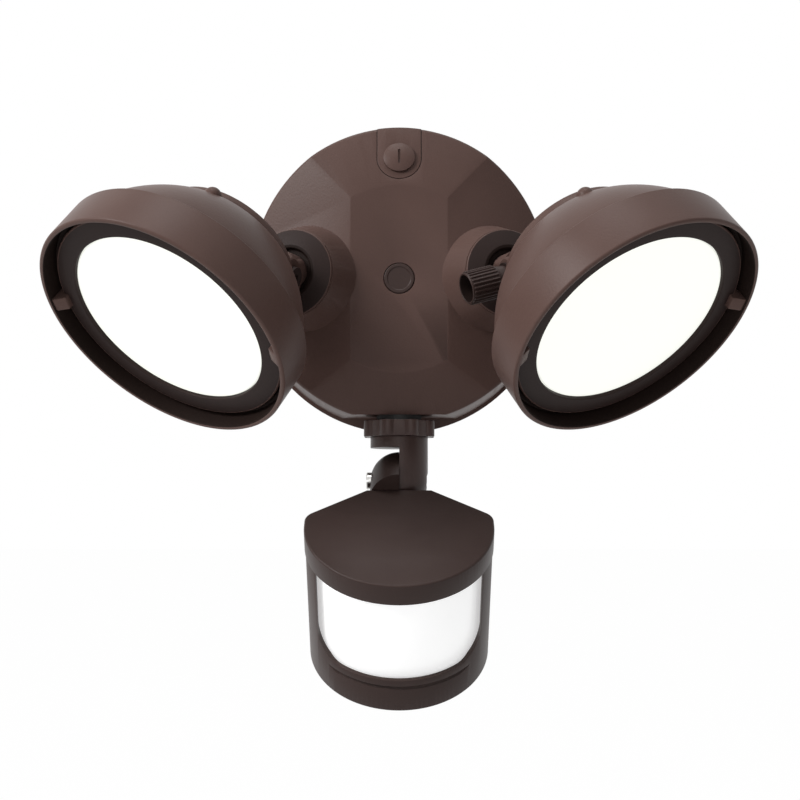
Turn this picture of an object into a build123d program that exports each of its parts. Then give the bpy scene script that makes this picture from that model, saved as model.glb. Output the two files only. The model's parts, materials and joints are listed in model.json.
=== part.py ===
"""Twin-head motion sensor security light, in millimetres.

The origin lies on the wall plane, on the axis of the central fixing bolt.
+X points right as seen from the front, +Y into the wall, +Z up.
"""
from build123d import *
import math
import os

os.makedirs("parts", exist_ok=True)

# ---------------------------------------------------------------- sizes
# Round canopy
canopy_lift = 3.0            # centre of the round outline above the bolt axis
flange_radius = 62.0
flange_thickness = 2.4
side_radius = flange_radius - 1.0    # foot of the drafted side wall
rim_radius = flange_radius - 3.0     # front end of the side wall
front_depth = 33.0           # flat front panel from the wall plane
crown_rise = 6.0             # front panel ahead of the side wall's end
rim_depth = front_depth - crown_rise
front_radius = 0.6 * flange_radius   # rounded ends of the front panel
front_half_width = 19.05
facet_angle = 20.0           # side facets, off the wall plane
edge_softness = 1.6
chin_cut = 6.0               # height lost from the round outline below
chin_height = canopy_lift - flange_radius + chin_cut
skin = 2.5
gasket_thickness = 1.5
gasket_width = 4.0
gasket_inset = 1.5           # from the flange's edge
through = 300.0              # longer than any piece, for cutting tools

# Lamp bosses on the side facets
boss_x = 0.6 * flange_radius
boss_z = 1.0
boss_foot_radius = 21.2
boss_top_radius = 17.2
boss_height = 12.5
boss_wall = 2.6

# Fixing strap and central bolt
strap_end = 2.4              # metal beyond each slot
strap_width = 20.0
strap_thickness = 2.0
slot_spacing = 79.4          # centre to centre, for 70 to 89 mm box screws
slot_length = 16.0
slot_radius = 2.4
strap_length = slot_spacing + slot_length + 2 * strap_end
bolt_radius = 2.0
bolt_head_radius = 3.8
bolt_head_height = 3.0
bolt_clearance = 0.3
well_radius = 6.2
well_wall = 2.0
well_depth = 16.0
well_floor_depth = front_depth - well_depth
well_floor = 2.5
plug_clearance = 0.2
plug_thickness = 2.2
plug_skirt_depth = 5.0
strap_boss_radius = 4.4
strap_boss_height = 4.0

# Driver module
driver_width = 56.0
driver_height = 22.0
driver_thickness = 14.0
driver_z = 23.0
driver_setback = 13.0
driver_front_depth = front_depth - driver_setback
driver_ear = 7.0
driver_ear_thickness = 3.0
standoff_radius = 3.2
small_screw_radius = 1.5
small_head_radius = 2.7
small_head_height = 1.8
screw_gap = 0.05

# Mode selector at the top of the canopy
selector_inset = 13.4
selector_z = flange_radius - selector_inset
selector_radius = 8.7
selector_gap = 0.25
selector_thickness = 3.0
selector_flange = 1.6
bezel_reach = 8.0            # tab's rear edge behind the crown's foot
dial_radius = 6.2
dial_rise = 1.0
dial_dome = 1.1
dial_hub_radius = 3.6
dial_shaft_radius = 2.4
dial_shaft_length = 4.0
dial_slot_width = 0.9
dial_slot_length = 6.0
dial_slot_depth = 0.9
running_gap = 0.06
switch_side = 13.0
switch_thickness = 8.0
switch_gap = 0.4

# Lamp arm
stem_radius = 5.0
stem_inside = 11.0
stem_gasket_thickness = 1.0
stem_gasket_radius = 8.6
stem_nut_radius = 8.0
stem_nut_thickness = 4.0
collar_foot_radius = 17.0
collar_rim_radius = 10.7
collar_height = 3.2
collar_wall = 1.3
neck_radius = 7.0
web_start = 3.9
pivot_reach = 27.0           # pivot above the facet, along the swivel axis
pivot_drop = 2.8             # pivot below the swivel axis
eye_radius = 7.8
eye_inner_face = -7.0        # along the pivot axis, from the arm's centre plane
eye_outer_face = 3.0
ear_gap = 0.15
ear_thickness = 6.0
pivot_bolt_radius = 2.5
pivot_head_radius = 4.6
pivot_head_height = 2.4
washer_radius = 6.0
washer_thickness = 1.0
knob_radius = 6.4
knob_shoulder_radius = 5.0
knob_shoulder = 4.2
knob_grip = 12.6
knob_wall = 0.9
knob_ribs = 26
knob_rib_depth = 0.45

# Lamp aim at rest
head_swivel = 16.65          # arm turned about the boss axis
head_tilt = 50.9             # lamp axis from the boss axis

# Lamp head, measured from the rim plane backwards
head_radius = 48.5
visor_wall = 1.8
visor_length = 16.5
bezel_depth = 4.6
bezel_thickness = 2.0
gutter_depth = 8.0
gutter_radius = head_radius - 3.9
bezel_width = 11.4
bezel_opening = head_radius - bezel_width
lens_clearance = 0.2
lens_recess = 0.6
lens_flange_radius = bezel_opening + 3.9
lens_flange_thickness = 2.0
lens_gasket_thickness = 1.0
dome_front_radius = head_radius - 2.1
dome_rear_radius = 0.65 * head_radius
dome_rear_depth = 40.0
dome_bulge = 1.6
dome_wall = 2.4
spigot_length = 4.5
seal_thickness = 1.2
cap_radius = dome_rear_radius - 3.0
cap_depth = dome_rear_depth + 5.3
cap_draft = 0.8
reflector_wall = 1.2
reflector_depth = 5.0
reflector_floor_radius = bezel_opening - 3.1
board_radius = bezel_opening + 0.9
board_thickness = 1.6
board_hole_radius = 2.2
pad_count = 4                # board pads cast inside the housing
pad_circle = 0.55 * head_radius
pad_radius = 3.2
chip_count = 12
chip_side = 3.2
chip_height = 0.8
chip_circle = 22.0
post_count = 2
post_radius = 2.9
post_circle = head_radius - 7.1
post_first_angle = 37.5
post_seat = 24.0             # screw heads, behind the rim plane
rear_lug_radius = 3.2
rear_lug_circle = dome_rear_radius - 0.5
rear_lug_angle = 100.0
lug_width = 4.6
lug_reach = 4.2
lug_height = 3.6

# Head axis from the pivot, along the lamp axis, the pivot axis and sideways
head_ahead = 56.145
head_aside = 10.64
head_above = 18.643

# Sensor mount under the chin
sensor_setback = 14.0        # swivel axis behind the front panel
sensor_axis_depth = front_depth - sensor_setback
sensor_seal_thickness = 2.0
sensor_seal_radius = 8.8
lock_nut_radius = 14.8
lock_nut_root = 13.0
lock_nut_height = 6.3
lock_nut_lobes = 8
joint_gap = 0.15
knuckle_gap = 0.05           # each half of the sensor's knuckle to the middle
sensor_stem_radius = 4.8
sensor_stem_inside = 9.0
inner_nut_radius = 6.6
inner_pad_radius = 8.8
inner_pad_height = 1.2
inner_nut_thickness = 4.0
arm_radius = 11.4
arm_disc_height = 4.2
sensor_pivot_drop = 13.0     # pivot below the arm's disc
pivot_screw_radius = 2.0
pivot_screw_head_radius = 3.4
pivot_screw_head = 1.6
pivot_nut_radius = 3.6
pivot_nut_thickness = 2.6

# Sensor head, in its own tilted frame
sensor_tilt = 36.3
sensor_ahead = 12.0          # rear flat ahead of the pivot
sensor_top = 4.3             # top face above the pivot
sensor_radius = 35.45
sensor_rear_half = 12.5
sensor_shoulder = 16.5       # rear flat to the side corners
sensor_corner = 6.0
sensor_centre = 22.7         # rear flat to the centre of the round front
sensor_height = 60.5
visor_height = 8.6
sensor_wall = 2.2
wall_gap = 5.0               # bevelled rear of the sensor to the wall
body_inset = 0.35
window_half_width = 30.5
window_bottom = 45.0
bevel_bottom = 49.4
window_corner = 9.0
fresnel_gap = 0.2
fresnel_thickness = 1.2
fresnel_overlap = 2.5
board_width = 34.0
board_height = 34.0
pir_radius = 4.6
pir_length = 4.2
knob_dial_radius = 4.4
knob_dial_drop = 2.4
knob_dial_spacing = 22.0
knob_shaft_radius = 1.6
pot_side = 9.0
pot_height = 5.0
cover_screw_spacing = 44.0
cover_screw_back = 4.0
cover_screw_bite = 4.0
cover_screw_seat = 3.0
cover_column_radius = 3.2


# ---------------------------------------------------------------- frames
def front_frame():
    """Looking at the light: x right, y up, z out of the wall."""
    return Plane(origin=(0, 0, 0), x_dir=(1, 0, 0), z_dir=(0, -1, 0))


boss_axis = Vector(math.sin(math.radians(facet_angle)), -math.cos(math.radians(facet_angle)), 0)
boss_level = Vector(math.cos(math.radians(facet_angle)), math.sin(math.radians(facet_angle)), 0)
boss_depth = front_depth - math.tan(math.radians(facet_angle)) * (boss_x - front_half_width)
boss_point = Vector(boss_x, -boss_depth, boss_z)
up = Vector(0, 0, 1)

swing = math.radians(head_swivel)
pivot_axis = boss_level * math.cos(swing) + up * math.sin(swing)
pivot_side = boss_axis.cross(pivot_axis)
tilt = math.radians(head_tilt)
lamp_axis = boss_axis * math.cos(tilt) - pivot_side * math.sin(tilt)
pivot_point = boss_point + boss_axis * pivot_reach - pivot_side * pivot_drop
lamp_side = pivot_axis.cross(lamp_axis)
rim_point = pivot_point + lamp_axis * head_ahead + pivot_axis * head_aside - lamp_side * head_above

boss_frame = Plane(origin=boss_point, x_dir=boss_level, z_dir=boss_axis)
eye_frame = Plane(origin=pivot_point, x_dir=lamp_axis, z_dir=pivot_axis)
head_frame = Plane(origin=rim_point, x_dir=pivot_axis, z_dir=lamp_axis)

sensor_seal_top = chin_height
nut_top = sensor_seal_top - sensor_seal_thickness - joint_gap
nut_bottom = nut_top - lock_nut_height
disc_top = nut_bottom - joint_gap
disc_bottom = disc_top - arm_disc_height
sensor_pivot = Vector(0, -sensor_axis_depth, disc_bottom - sensor_pivot_drop)
lean = math.radians(sensor_tilt)
sensor_up = Vector(0, -math.sin(lean), math.cos(lean))
sensor_frame = Plane(origin=sensor_pivot, x_dir=(1, 0, 0), z_dir=sensor_up)

selector_slope = math.atan2(front_depth - rim_depth, canopy_lift + rim_radius - front_radius)
selector_depth = front_depth - math.tan(selector_slope) * (selector_z - front_radius)
selector_frame = Plane(
    origin=(0, -selector_depth, selector_z),
    x_dir=(1, 0, 0),
    z_dir=(0, -math.cos(selector_slope), math.sin(selector_slope)),
)


# ---------------------------------------------------------------- helpers
def disc(radius, low, high):
    """Round bar on the z axis between two heights."""
    return Pos(0, 0, low) * Cylinder(radius, high - low, align=(Align.CENTER, Align.CENTER, Align.MIN))


def tube(outer, inner, low, high):
    return disc(outer, low, high) - disc(inner, low, high)


def taper(low_radius, high_radius, low, high):
    solid = Cone(low_radius, high_radius, high - low, align=(Align.CENTER, Align.CENTER, Align.MIN))
    return Pos(0, 0, low) * solid


def block(width, depth, low, high):
    return Pos(0, 0, low) * Box(width, depth, high - low, align=(Align.CENTER, Align.CENTER, Align.MIN))


def hexagon(radius, low, high):
    return Pos(0, 0, low) * extrude(RegularPolygon(radius, 6), high - low)


def revolved(points):
    """Turn a closed outline of (radius, height) points about the z axis."""
    outline = Plane.XZ * make_face(Polyline(*points, close=True))
    return revolve(outline, Axis.Z)


def around(count, radius, first_angle, piece):
    return [
        Rot(0, 0, first_angle + step * 360.0 / count) * Pos(radius, 0, 0) * piece
        for step in range(count)
    ]


def placed(frame, piece):
    return piece.moved(frame.location)


def solids_of(piece):
    """Every solid in a piece, a list of pieces or a nest of them."""
    if isinstance(piece, (list, tuple)):
        return [solid for item in piece for solid in solids_of(item)]
    return list(piece.solids())


nodes = {}


def keep(name, piece):
    nodes[name] = solids_of(piece)


def on_side(side, piece):
    """The right-hand piece, or its mirror image for the left side."""
    if side == "right":
        return piece
    return mirror(piece, about=Plane.YZ)


# ---------------------------------------------------------------- canopy
def canopy_form(inset):
    """Faceted body in the front frame, its walls moved inwards by inset."""
    depth = front_depth - inset
    rim = rim_depth - inset
    side = taper(side_radius - inset, rim_radius - inset, 0, rim)
    crown = loft([
        Pos(0, 0, rim) * Circle(rim_radius - inset),
        Pos(0, -canopy_lift, depth) * Circle(front_radius - inset),
    ], ruled=True)
    body = Pos(0, canopy_lift, 0) * (side + crown)
    slope = math.tan(math.radians(facet_angle))
    drop = inset / math.cos(math.radians(facet_angle))
    reach = flange_radius + 1
    edge_depth = front_depth - drop - slope * (reach - front_half_width)
    corner = front_half_width - (drop - inset) / slope
    outline = Polyline(
        (-reach, -1), (reach, -1), (reach, edge_depth),
        (corner, depth), (-corner, depth), (-reach, edge_depth),
        close=True,
    )
    wedge = extrude(Plane.XZ * make_face(outline), 2 * flange_radius, both=True)
    chin = Pos(0, chin_height + inset - flange_radius, flange_thickness) * Box(
        2 * flange_radius, 2 * flange_radius, front_depth,
        align=(Align.CENTER, Align.CENTER, Align.MIN))
    return (body & wedge) - chin


def selector_outline(radius):
    """U shape, open towards the top of the canopy."""
    reach = canopy_lift + flange_radius - selector_z + 1
    arch = Circle(radius) + Pos(0, reach / 2) * Rectangle(2 * radius, reach)
    return extrude(Pos(0, selector_z) * arch, front_depth)


def boss_solid(radius_loss, low, high):
    """Tapered lamp boss in the boss frame."""
    slope = (boss_top_radius - boss_foot_radius) / boss_height
    return taper(
        boss_foot_radius + slope * low - radius_loss,
        boss_foot_radius + slope * high - radius_loss, low, high)


def both_bosses(piece):
    right = placed(boss_frame, piece)
    return [right, mirror(right, about=Plane.YZ)]


def canopy_housing():
    form = canopy_form(0)
    soft = form.edges().filter_by(lambda edge: edge.center().Z > rim_depth - 2 * crown_rise)
    soft = soft.filter_by(lambda edge: edge.center().Y > chin_height + 1)
    form = fillet(soft, edge_softness)
    flange = Pos(0, canopy_lift, gasket_thickness) * Cylinder(
        flange_radius, flange_thickness, align=(Align.CENTER, Align.CENTER, Align.MIN))
    shell = form + flange
    shell -= block(through, through, -flange_thickness, gasket_thickness)
    shell -= canopy_form(skin)
    shell = placed(front_frame(), shell)
    for boss in both_bosses(boss_solid(0, -4.0, boss_height)):
        shell += boss
    inner = placed(front_frame(), canopy_form(skin))
    shell -= inner
    hollow = boss_solid(boss_wall, -9.0, boss_height - boss_wall)
    hollow += disc(stem_radius + running_gap, -1, boss_height + 1)
    for cavity in both_bosses(hollow):
        shell -= cavity
    well = tube(well_radius + well_wall, well_radius, well_floor_depth, front_depth - 1)
    well += tube(well_radius + 0.5, bolt_radius + bolt_clearance,
                 well_floor_depth - well_floor, well_floor_depth)
    well += tube(well_radius + well_wall, well_radius, well_floor_depth - well_floor, well_floor_depth + 1)
    shell -= placed(front_frame(), disc(well_radius, well_floor_depth, front_depth + 1))
    shell += placed(front_frame(), well)
    for x in (-1, 1):
        foot = Pos(x * (driver_width + driver_ear) / 2, driver_z, 0)
        post = foot * disc(standoff_radius, driver_front_depth, front_depth)
        post = placed(front_frame(), post) & placed(front_frame(), canopy_form(skin / 2))
        shell += post
        shell -= placed(front_frame(), foot * disc(
            small_screw_radius + screw_gap, driver_front_depth - 1, driver_front_depth + 3))
    shell -= placed(front_frame(), selector_outline(selector_radius + selector_gap)
                    & block(4 * flange_radius, 4 * flange_radius, rim_depth - bezel_reach, front_depth))
    stem = Pos(0, -sensor_axis_depth, chin_height)
    shell += (stem * disc(inner_pad_radius, skin - 0.5, skin + inner_pad_height)
              & placed(front_frame(), canopy_form(skin / 2)))
    shell -= stem * disc(sensor_stem_radius + running_gap, -1, skin + inner_pad_height + 1)
    return shell


def wall_gasket():
    outer = flange_radius - gasket_inset
    ring = tube(outer, outer - gasket_width, 0, gasket_thickness)
    return placed(front_frame(), Pos(0, canopy_lift, 0) * ring)


def mounting_strap():
    bar = extrude(SlotOverall(strap_length, strap_width), strap_thickness)
    bar += disc(strap_boss_radius, strap_thickness, strap_thickness + strap_boss_height)
    bar -= disc(bolt_radius + screw_gap, -1, strap_thickness + strap_boss_height + 1)
    slot = extrude(SlotOverall(slot_length, 2 * slot_radius), strap_thickness)
    for x in (-1, 1):
        bar -= Pos(x * slot_spacing / 2, 0, 0) * slot
    return placed(front_frame(), bar)


def canopy_bolt():
    head_low = well_floor_depth
    bolt = disc(bolt_head_radius, head_low, head_low + bolt_head_height)
    bolt += disc(bolt_radius, strap_thickness / 2, head_low)
    bolt -= Pos(0, 0, head_low + bolt_head_height - 1.2) * Box(
        2 * bolt_head_radius, 1.0, 2.4, align=(Align.CENTER, Align.CENTER, Align.MIN))
    return placed(front_frame(), bolt)


def plug_cap():
    face = disc(well_radius - plug_clearance, front_depth - plug_thickness, front_depth)
    skirt = tube(well_radius - 0.05, well_radius - 1.4,
                 front_depth - plug_skirt_depth - plug_thickness, front_depth - plug_thickness - 0.3)
    web = disc(well_radius - 1.0, front_depth - plug_thickness - 1.2, front_depth - plug_thickness + 0.2)
    return placed(front_frame(), face + skirt + web)


def driver_module():
    low = driver_front_depth - driver_thickness
    case = Pos(0, driver_z, 0) * block(driver_width, driver_height, low, driver_front_depth)
    case = fillet(case.edges().filter_by(Axis.Z), 2.5)
    ears = Pos(0, driver_z, 0) * block(
        driver_width + 2 * driver_ear, 9.0, driver_front_depth - driver_ear_thickness, driver_front_depth)
    module = case + ears
    for x in (-1, 1):
        module -= Pos(x * (driver_width + driver_ear) / 2, driver_z, 0) * disc(
            small_screw_radius + screw_gap, 0, front_depth)
    return placed(front_frame(), module)


def small_screw(length):
    """Screw on the z axis, its head below zero and its shank above."""
    head = disc(small_head_radius, -small_head_height, 0)
    slot = Pos(0, 0, -small_head_height - 0.1) * Box(
        2 * small_head_radius + 1, 0.8, 0.8, align=(Align.CENTER, Align.CENTER, Align.MIN))
    return head + disc(small_screw_radius, 0, length) - slot


def driver_screws():
    head_height = driver_front_depth - driver_ear_thickness
    return [
        placed(front_frame(), Pos(x * (driver_width + driver_ear) / 2, driver_z, head_height)
               * small_screw(driver_ear_thickness + 2.6))
        for x in (-1, 1)
    ]


def selector_bezel():
    """Tab flush with the canopy, with a flange behind the skin."""
    front = placed(front_frame(), selector_outline(selector_radius))
    skin_form = placed(front_frame(), canopy_form(0))
    plug = (front & skin_form) - placed(front_frame(), canopy_form(selector_thickness))
    rear_limit = placed(front_frame(), block(
        4 * flange_radius, 4 * flange_radius, rim_depth - bezel_reach + selector_gap, front_depth + 1))
    plug &= rear_limit
    hub = disc(dial_hub_radius + 2.2, -selector_thickness - selector_flange, -1)
    plug += placed(selector_frame, hub)
    plug -= placed(selector_frame, disc(dial_hub_radius + running_gap, -front_depth, front_depth))
    return plug


def selector_dial():
    """Domed knob with a pointer slot, a hub in the tab and a shaft to the switch."""
    hub_end = -selector_thickness - selector_flange
    shaft_end = hub_end - switch_gap - dial_shaft_length
    top = dial_rise + dial_dome
    crown = ThreePointArc(
        (dial_radius, dial_rise), (dial_radius / 2, dial_rise + 0.75 * dial_dome), (0, top))
    rest = Polyline(
        (0, top), (0, shaft_end), (dial_shaft_radius, shaft_end), (dial_shaft_radius, hub_end),
        (dial_hub_radius, hub_end), (dial_hub_radius, joint_gap), (dial_radius, joint_gap),
        (dial_radius, dial_rise))
    dial = revolve(Plane.XZ * make_face(crown + rest), Axis.Z)
    dial -= Pos(0, 0, top - dial_slot_depth) * Box(
        dial_slot_width, dial_slot_length, 3, align=(Align.CENTER, Align.CENTER, Align.MIN))
    return placed(selector_frame, dial)


def selector_switch():
    top = -selector_thickness - selector_flange
    body = block(switch_side, switch_side, top - switch_thickness, top)
    body = fillet(body.edges().filter_by(Axis.Z), 1.2)
    body -= disc(dial_shaft_radius + running_gap, top - switch_gap - dial_shaft_length - 0.4, top + 1)
    body -= disc(dial_hub_radius + 0.4, top - switch_gap, top + 1)
    for y in (-1, 1):
        body += Pos(0, y * 4, 0) * block(3.0, 0.8, top - switch_thickness - 4, top - switch_thickness)
    return placed(selector_frame, body)


# ---------------------------------------------------------------- lamp arms
def swivel_collar():
    """Low dished ring that closes the joint between arm and boss."""
    low = boss_height + joint_gap
    high = low + collar_height
    outline = [
        (neck_radius + running_gap, low), (collar_foot_radius, low), (collar_foot_radius, low + 0.9),
        (collar_rim_radius, high), (collar_rim_radius - collar_wall, high),
        (collar_rim_radius - collar_wall - 0.5, low + 1.6), (neck_radius + running_gap, low + 1.6),
    ]
    return placed(boss_frame, revolved(outline))


def stem_gasket():
    high = boss_height - boss_wall
    return placed(boss_frame, tube(
        stem_gasket_radius, stem_radius + 0.1, high - stem_gasket_thickness, high - 0.02))


def stem_nut():
    high = boss_height - boss_wall - stem_gasket_thickness - joint_gap
    nut = hexagon(stem_nut_radius, high - stem_nut_thickness, high)
    return placed(boss_frame, nut - disc(stem_radius + screw_gap, high - 10, high + 1))


def lamp_arm():
    """Hollow stem, neck and single eye, with the eye below the stem's axis."""
    low = boss_height + joint_gap
    neck_top = pivot_reach - 2.0
    stem = disc(stem_radius, boss_height - stem_inside, low + 0.5)
    neck = disc(neck_radius, low, neck_top)
    turned = placed(boss_frame, stem + neck)
    eye = disc(eye_radius, eye_inner_face, eye_outer_face)
    eye = chamfer(eye.edges().filter_by(GeomType.CIRCLE), 0.6)
    lean_axis = Vector(-pivot_side.X, -pivot_side.Y, -pivot_side.Z) * pivot_drop
    web_frame = Plane(
        origin=boss_point + boss_axis * (low + 1.0), x_dir=pivot_axis,
        z_dir=boss_axis * (pivot_reach - low - 1.0) + lean_axis)
    web = block(eye_outer_face - eye_inner_face, 2 * neck_radius - 1.0, web_start, pivot_reach - low - 1.0)
    web = Pos((eye_outer_face + eye_inner_face) / 2, 0, 0) * web
    web = fillet(web.edges().filter_by(Axis.Z), 2.0)
    arm = turned + placed(eye_frame, eye) + placed(web_frame, web)
    beside = 2 * eye_radius
    arm -= placed(eye_frame, disc(beside, eye_outer_face, eye_outer_face + beside))
    arm -= placed(eye_frame, disc(beside, eye_inner_face - beside, eye_inner_face))
    arm -= placed(eye_frame, disc(pivot_bolt_radius + running_gap, -through, through))
    arm -= placed(boss_frame, disc(stem_radius - 1.6, boss_height - stem_inside - 1, low + 4))
    return arm


def knob(flip):
    """Ribbed thumb knob, seated on its washer; flip puts it on the ear."""
    root = knob_radius - knob_rib_depth
    shoulder = taper(knob_shoulder_radius, knob_shoulder_radius + 0.6, 0, knob_shoulder)
    grip = taper(root, root - 0.15, knob_shoulder, knob_shoulder + knob_grip)
    rib = block(2 * knob_rib_depth, 0.62, knob_shoulder + 0.5, knob_shoulder + knob_grip - 0.7)
    piece = shoulder + grip
    piece += around(knob_ribs, root, 0, rib)
    piece -= disc(root - knob_wall - 0.15, knob_shoulder + 3.0, knob_shoulder + knob_grip + 1)
    piece -= disc(pivot_bolt_radius + running_gap, -1, knob_shoulder + 3.5)
    if flip:
        return Pos(0, 0, eye_outer_face + ear_gap + ear_thickness + washer_thickness + 0.1) * piece
    return Pos(0, 0, eye_inner_face - washer_thickness - 0.1) * Rot(180, 0, 0) * piece


def washer(flip):
    ring = tube(washer_radius, pivot_bolt_radius + running_gap, 0, washer_thickness)
    if flip:
        return Pos(0, 0, eye_outer_face + ear_gap + ear_thickness + 0.05) * ring
    return Pos(0, 0, eye_inner_face - washer_thickness - 0.05) * ring


def pivot_bolt(flip):
    """Bolt with a round head and a locating flat."""
    ear_face = eye_outer_face + ear_gap + ear_thickness
    head = disc(pivot_head_radius, -pivot_head_height, 0)
    socket = hexagon(1.9, -pivot_head_height - 0.1, -pivot_head_height + 1.2)
    if flip:
        length = ear_face + washer_thickness + knob_shoulder + 2.6 - eye_inner_face
        bolt = head + disc(pivot_bolt_radius, 0, length) - socket
        return Pos(0, 0, eye_inner_face) * bolt
    length = ear_face - eye_inner_face + washer_thickness + knob_shoulder + 2.6
    bolt = head + disc(pivot_bolt_radius, 0, length) - socket
    return Pos(0, 0, ear_face) * Rot(180, 0, 0) * bolt


# ---------------------------------------------------------------- lamp heads
def lamp_visor():
    outline = [
        (head_radius - visor_wall, 0), (head_radius - 0.5, 0), (head_radius, -0.5),
        (head_radius, -visor_length), (dome_front_radius + 0.15, -visor_length),
        (dome_front_radius + 0.15, -gutter_depth - bezel_thickness),
        (gutter_radius - 2.0, -gutter_depth - bezel_thickness),
        (gutter_radius - 2.0, -bezel_depth - bezel_thickness),
        (bezel_opening, -bezel_depth - bezel_thickness), (bezel_opening, -bezel_depth),
        (gutter_radius, -bezel_depth - 0.5), (gutter_radius + 0.4, -gutter_depth),
        (head_radius - visor_wall, -gutter_depth),
    ]
    ring = revolved(outline)
    lug = Polyline(
        (0, -gutter_depth - 0.5), (0, -bezel_depth + lug_height - 1.0),
        (-lug_reach, -bezel_depth + 0.2), (-lug_reach, -gutter_depth - 0.5), close=True)
    wedge = extrude(Plane.XZ * make_face(lug), lug_width / 2, both=True)
    wedge = Pos(head_radius - visor_wall + 0.3, 0, 0) * wedge
    for angle in (0, 180):
        ring += Rot(0, 0, angle) * wedge
    floor = -gutter_depth - bezel_thickness
    for post in around(post_count, post_circle, post_first_angle,
                       disc(post_radius, -visor_length + spigot_length, floor + 0.3)):
        ring += post
    for hole in around(post_count, post_circle, post_first_angle,
                       disc(small_screw_radius + screw_gap, -visor_length, floor + 1.3)):
        ring -= hole
    return ring


def lens_top():
    return -bezel_depth - bezel_thickness - lens_gasket_thickness


def lamp_lens():
    top = lens_top()
    lens = disc(bezel_opening - lens_clearance, top - 0.5, -bezel_depth - lens_recess)
    lens = fillet(lens.edges().group_by(Axis.Z)[-1], 0.8)
    return lens + disc(lens_flange_radius, top - lens_flange_thickness, top)


def lens_gasket():
    top = lens_top()
    return tube(lens_flange_radius, bezel_opening + 0.6, top + 0.01, top + lens_gasket_thickness - 0.01)


def lamp_reflector():
    high = lens_top() - lens_flange_thickness - 0.05
    low = high - reflector_depth
    outer = bezel_opening + 1.2
    outline = [
        (reflector_floor_radius, low), (reflector_floor_radius + reflector_wall, low),
        (outer - 1.2, high - reflector_wall), (outer, high - reflector_wall), (outer, high),
        (outer - 2.0, high),
    ]
    return revolved(outline)


def board_top():
    return lens_top() - lens_flange_thickness - 0.05 - reflector_depth - 0.05


def led_board():
    board = disc(board_radius, board_top() - board_thickness, board_top())
    for notch in around(post_count, post_circle, post_first_angle, disc(post_radius + 0.6, -head_ahead, 0)):
        board -= notch
    return board - disc(board_hole_radius, -head_ahead, 0)


def led_chips():
    chip = block(chip_side, chip_side, board_top() + 0.01, board_top() + chip_height)
    return around(chip_count, chip_circle, 15, chip) + around(chip_count // 2, chip_circle / 2, 0, chip)


def dome_outline(inset, front):
    """Bulged rear casting from its spigot back to the flat cap."""
    start = (dome_front_radius - inset, -visor_length - 0.3)
    end = (dome_rear_radius - inset, -dome_rear_depth + inset)
    across = Vector(end[0] - start[0], end[1] - start[1])
    normal = Vector(-across.Y, across.X).normalized()
    middle = Vector((start[0] + end[0]) / 2, (start[1] + end[1]) / 2) - normal * -dome_bulge
    crown = ThreePointArc(start, (middle.X, middle.Y), end)
    rest = Polyline(end, (0, end[1]), (0, front), (start[0], front), start)
    return revolve(Plane.XZ * make_face(crown + rest), Axis.Z)


def lamp_housing():
    """Rear casting with its cap, screw bosses, board pads and pivot ear."""
    casting = dome_outline(0, -visor_length)
    casting += taper(cap_radius - cap_draft, cap_radius, -cap_depth, -dome_rear_depth + 0.5)
    casting += disc(dome_front_radius, -visor_length - 0.3, -visor_length + spigot_length)
    for boss in around(post_count, post_circle, post_first_angle, disc(post_radius, -post_seat - 2.0, -visor_length)):
        casting += boss
    lug = Pos(rear_lug_circle, 0, -dome_rear_depth + 1.0) * Sphere(rear_lug_radius)
    casting += Rot(0, 0, rear_lug_angle) * lug
    seat_top = -visor_length + spigot_length
    hollow = dome_outline(dome_wall, seat_top + 1)
    hollow += disc(cap_radius - dome_wall - 1, -cap_depth + dome_wall, -dome_rear_depth + 3)
    casting -= hollow
    pad_top = board_top() - board_thickness - 0.02
    pads = around(pad_count, pad_circle, 45, disc(pad_radius, -dome_rear_depth + 0.5, pad_top))
    for pad in pads:
        casting += pad
    for post in around(post_count, post_circle, post_first_angle, disc(post_radius, -post_seat - 2.0, seat_top)):
        casting += post & disc(dome_front_radius - 0.5, -dome_rear_depth, 0)
    for hole in around(post_count, post_circle, post_first_angle,
                       disc(small_screw_radius + screw_gap, -head_ahead, 0)):
        casting -= hole
    for seat in around(post_count, post_circle, post_first_angle, disc(post_radius, -head_ahead, -post_seat)):
        casting -= seat
    ear_low = eye_outer_face + ear_gap
    pivot_x = -head_aside
    pivot_y = -head_above
    ear_length = head_ahead - dome_rear_depth + 10.0
    ear_profile = Circle(eye_radius) + Pos(ear_length / 2, 0) * Rectangle(ear_length, 2 * eye_radius)
    ear = Pos(0, 0, ear_low) * extrude(ear_profile, ear_thickness)
    ear_plane = Plane(origin=(pivot_x, pivot_y, -head_ahead), x_dir=(0, 0, 1), z_dir=(1, 0, 0))
    ear = ear_plane.location * ear
    keep_ear = disc(head_radius, -head_ahead - 2 * eye_radius, -dome_rear_depth + 1.0)
    casting += (ear & keep_ear) - disc(cap_radius - dome_wall - 1, -cap_depth + dome_wall, -visor_length)
    eye_width = eye_outer_face - eye_inner_face
    casting -= ear_plane.location * disc(eye_radius + 0.4, ear_low - ear_gap - eye_width, ear_low)
    casting -= ear_plane.location * disc(pivot_bolt_radius + running_gap, -eye_width, ear_low + 2 * ear_thickness)
    return casting


def housing_seal():
    high = -visor_length + spigot_length + seal_thickness
    return tube(dome_front_radius - 0.1, dome_front_radius - 1.9, -visor_length + spigot_length + 0.01, high)


def head_screws():
    screw = small_screw(post_seat - gutter_depth - bezel_thickness - 0.2)
    return around(post_count, post_circle, post_first_angle, Pos(0, 0, -post_seat) * screw)


# ---------------------------------------------------------------- sensor
def sensor_seal():
    ring = tube(sensor_seal_radius, sensor_stem_radius + 0.2, -sensor_seal_thickness, -0.01)
    return Pos(0, -sensor_axis_depth, chin_height) * ring


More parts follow.
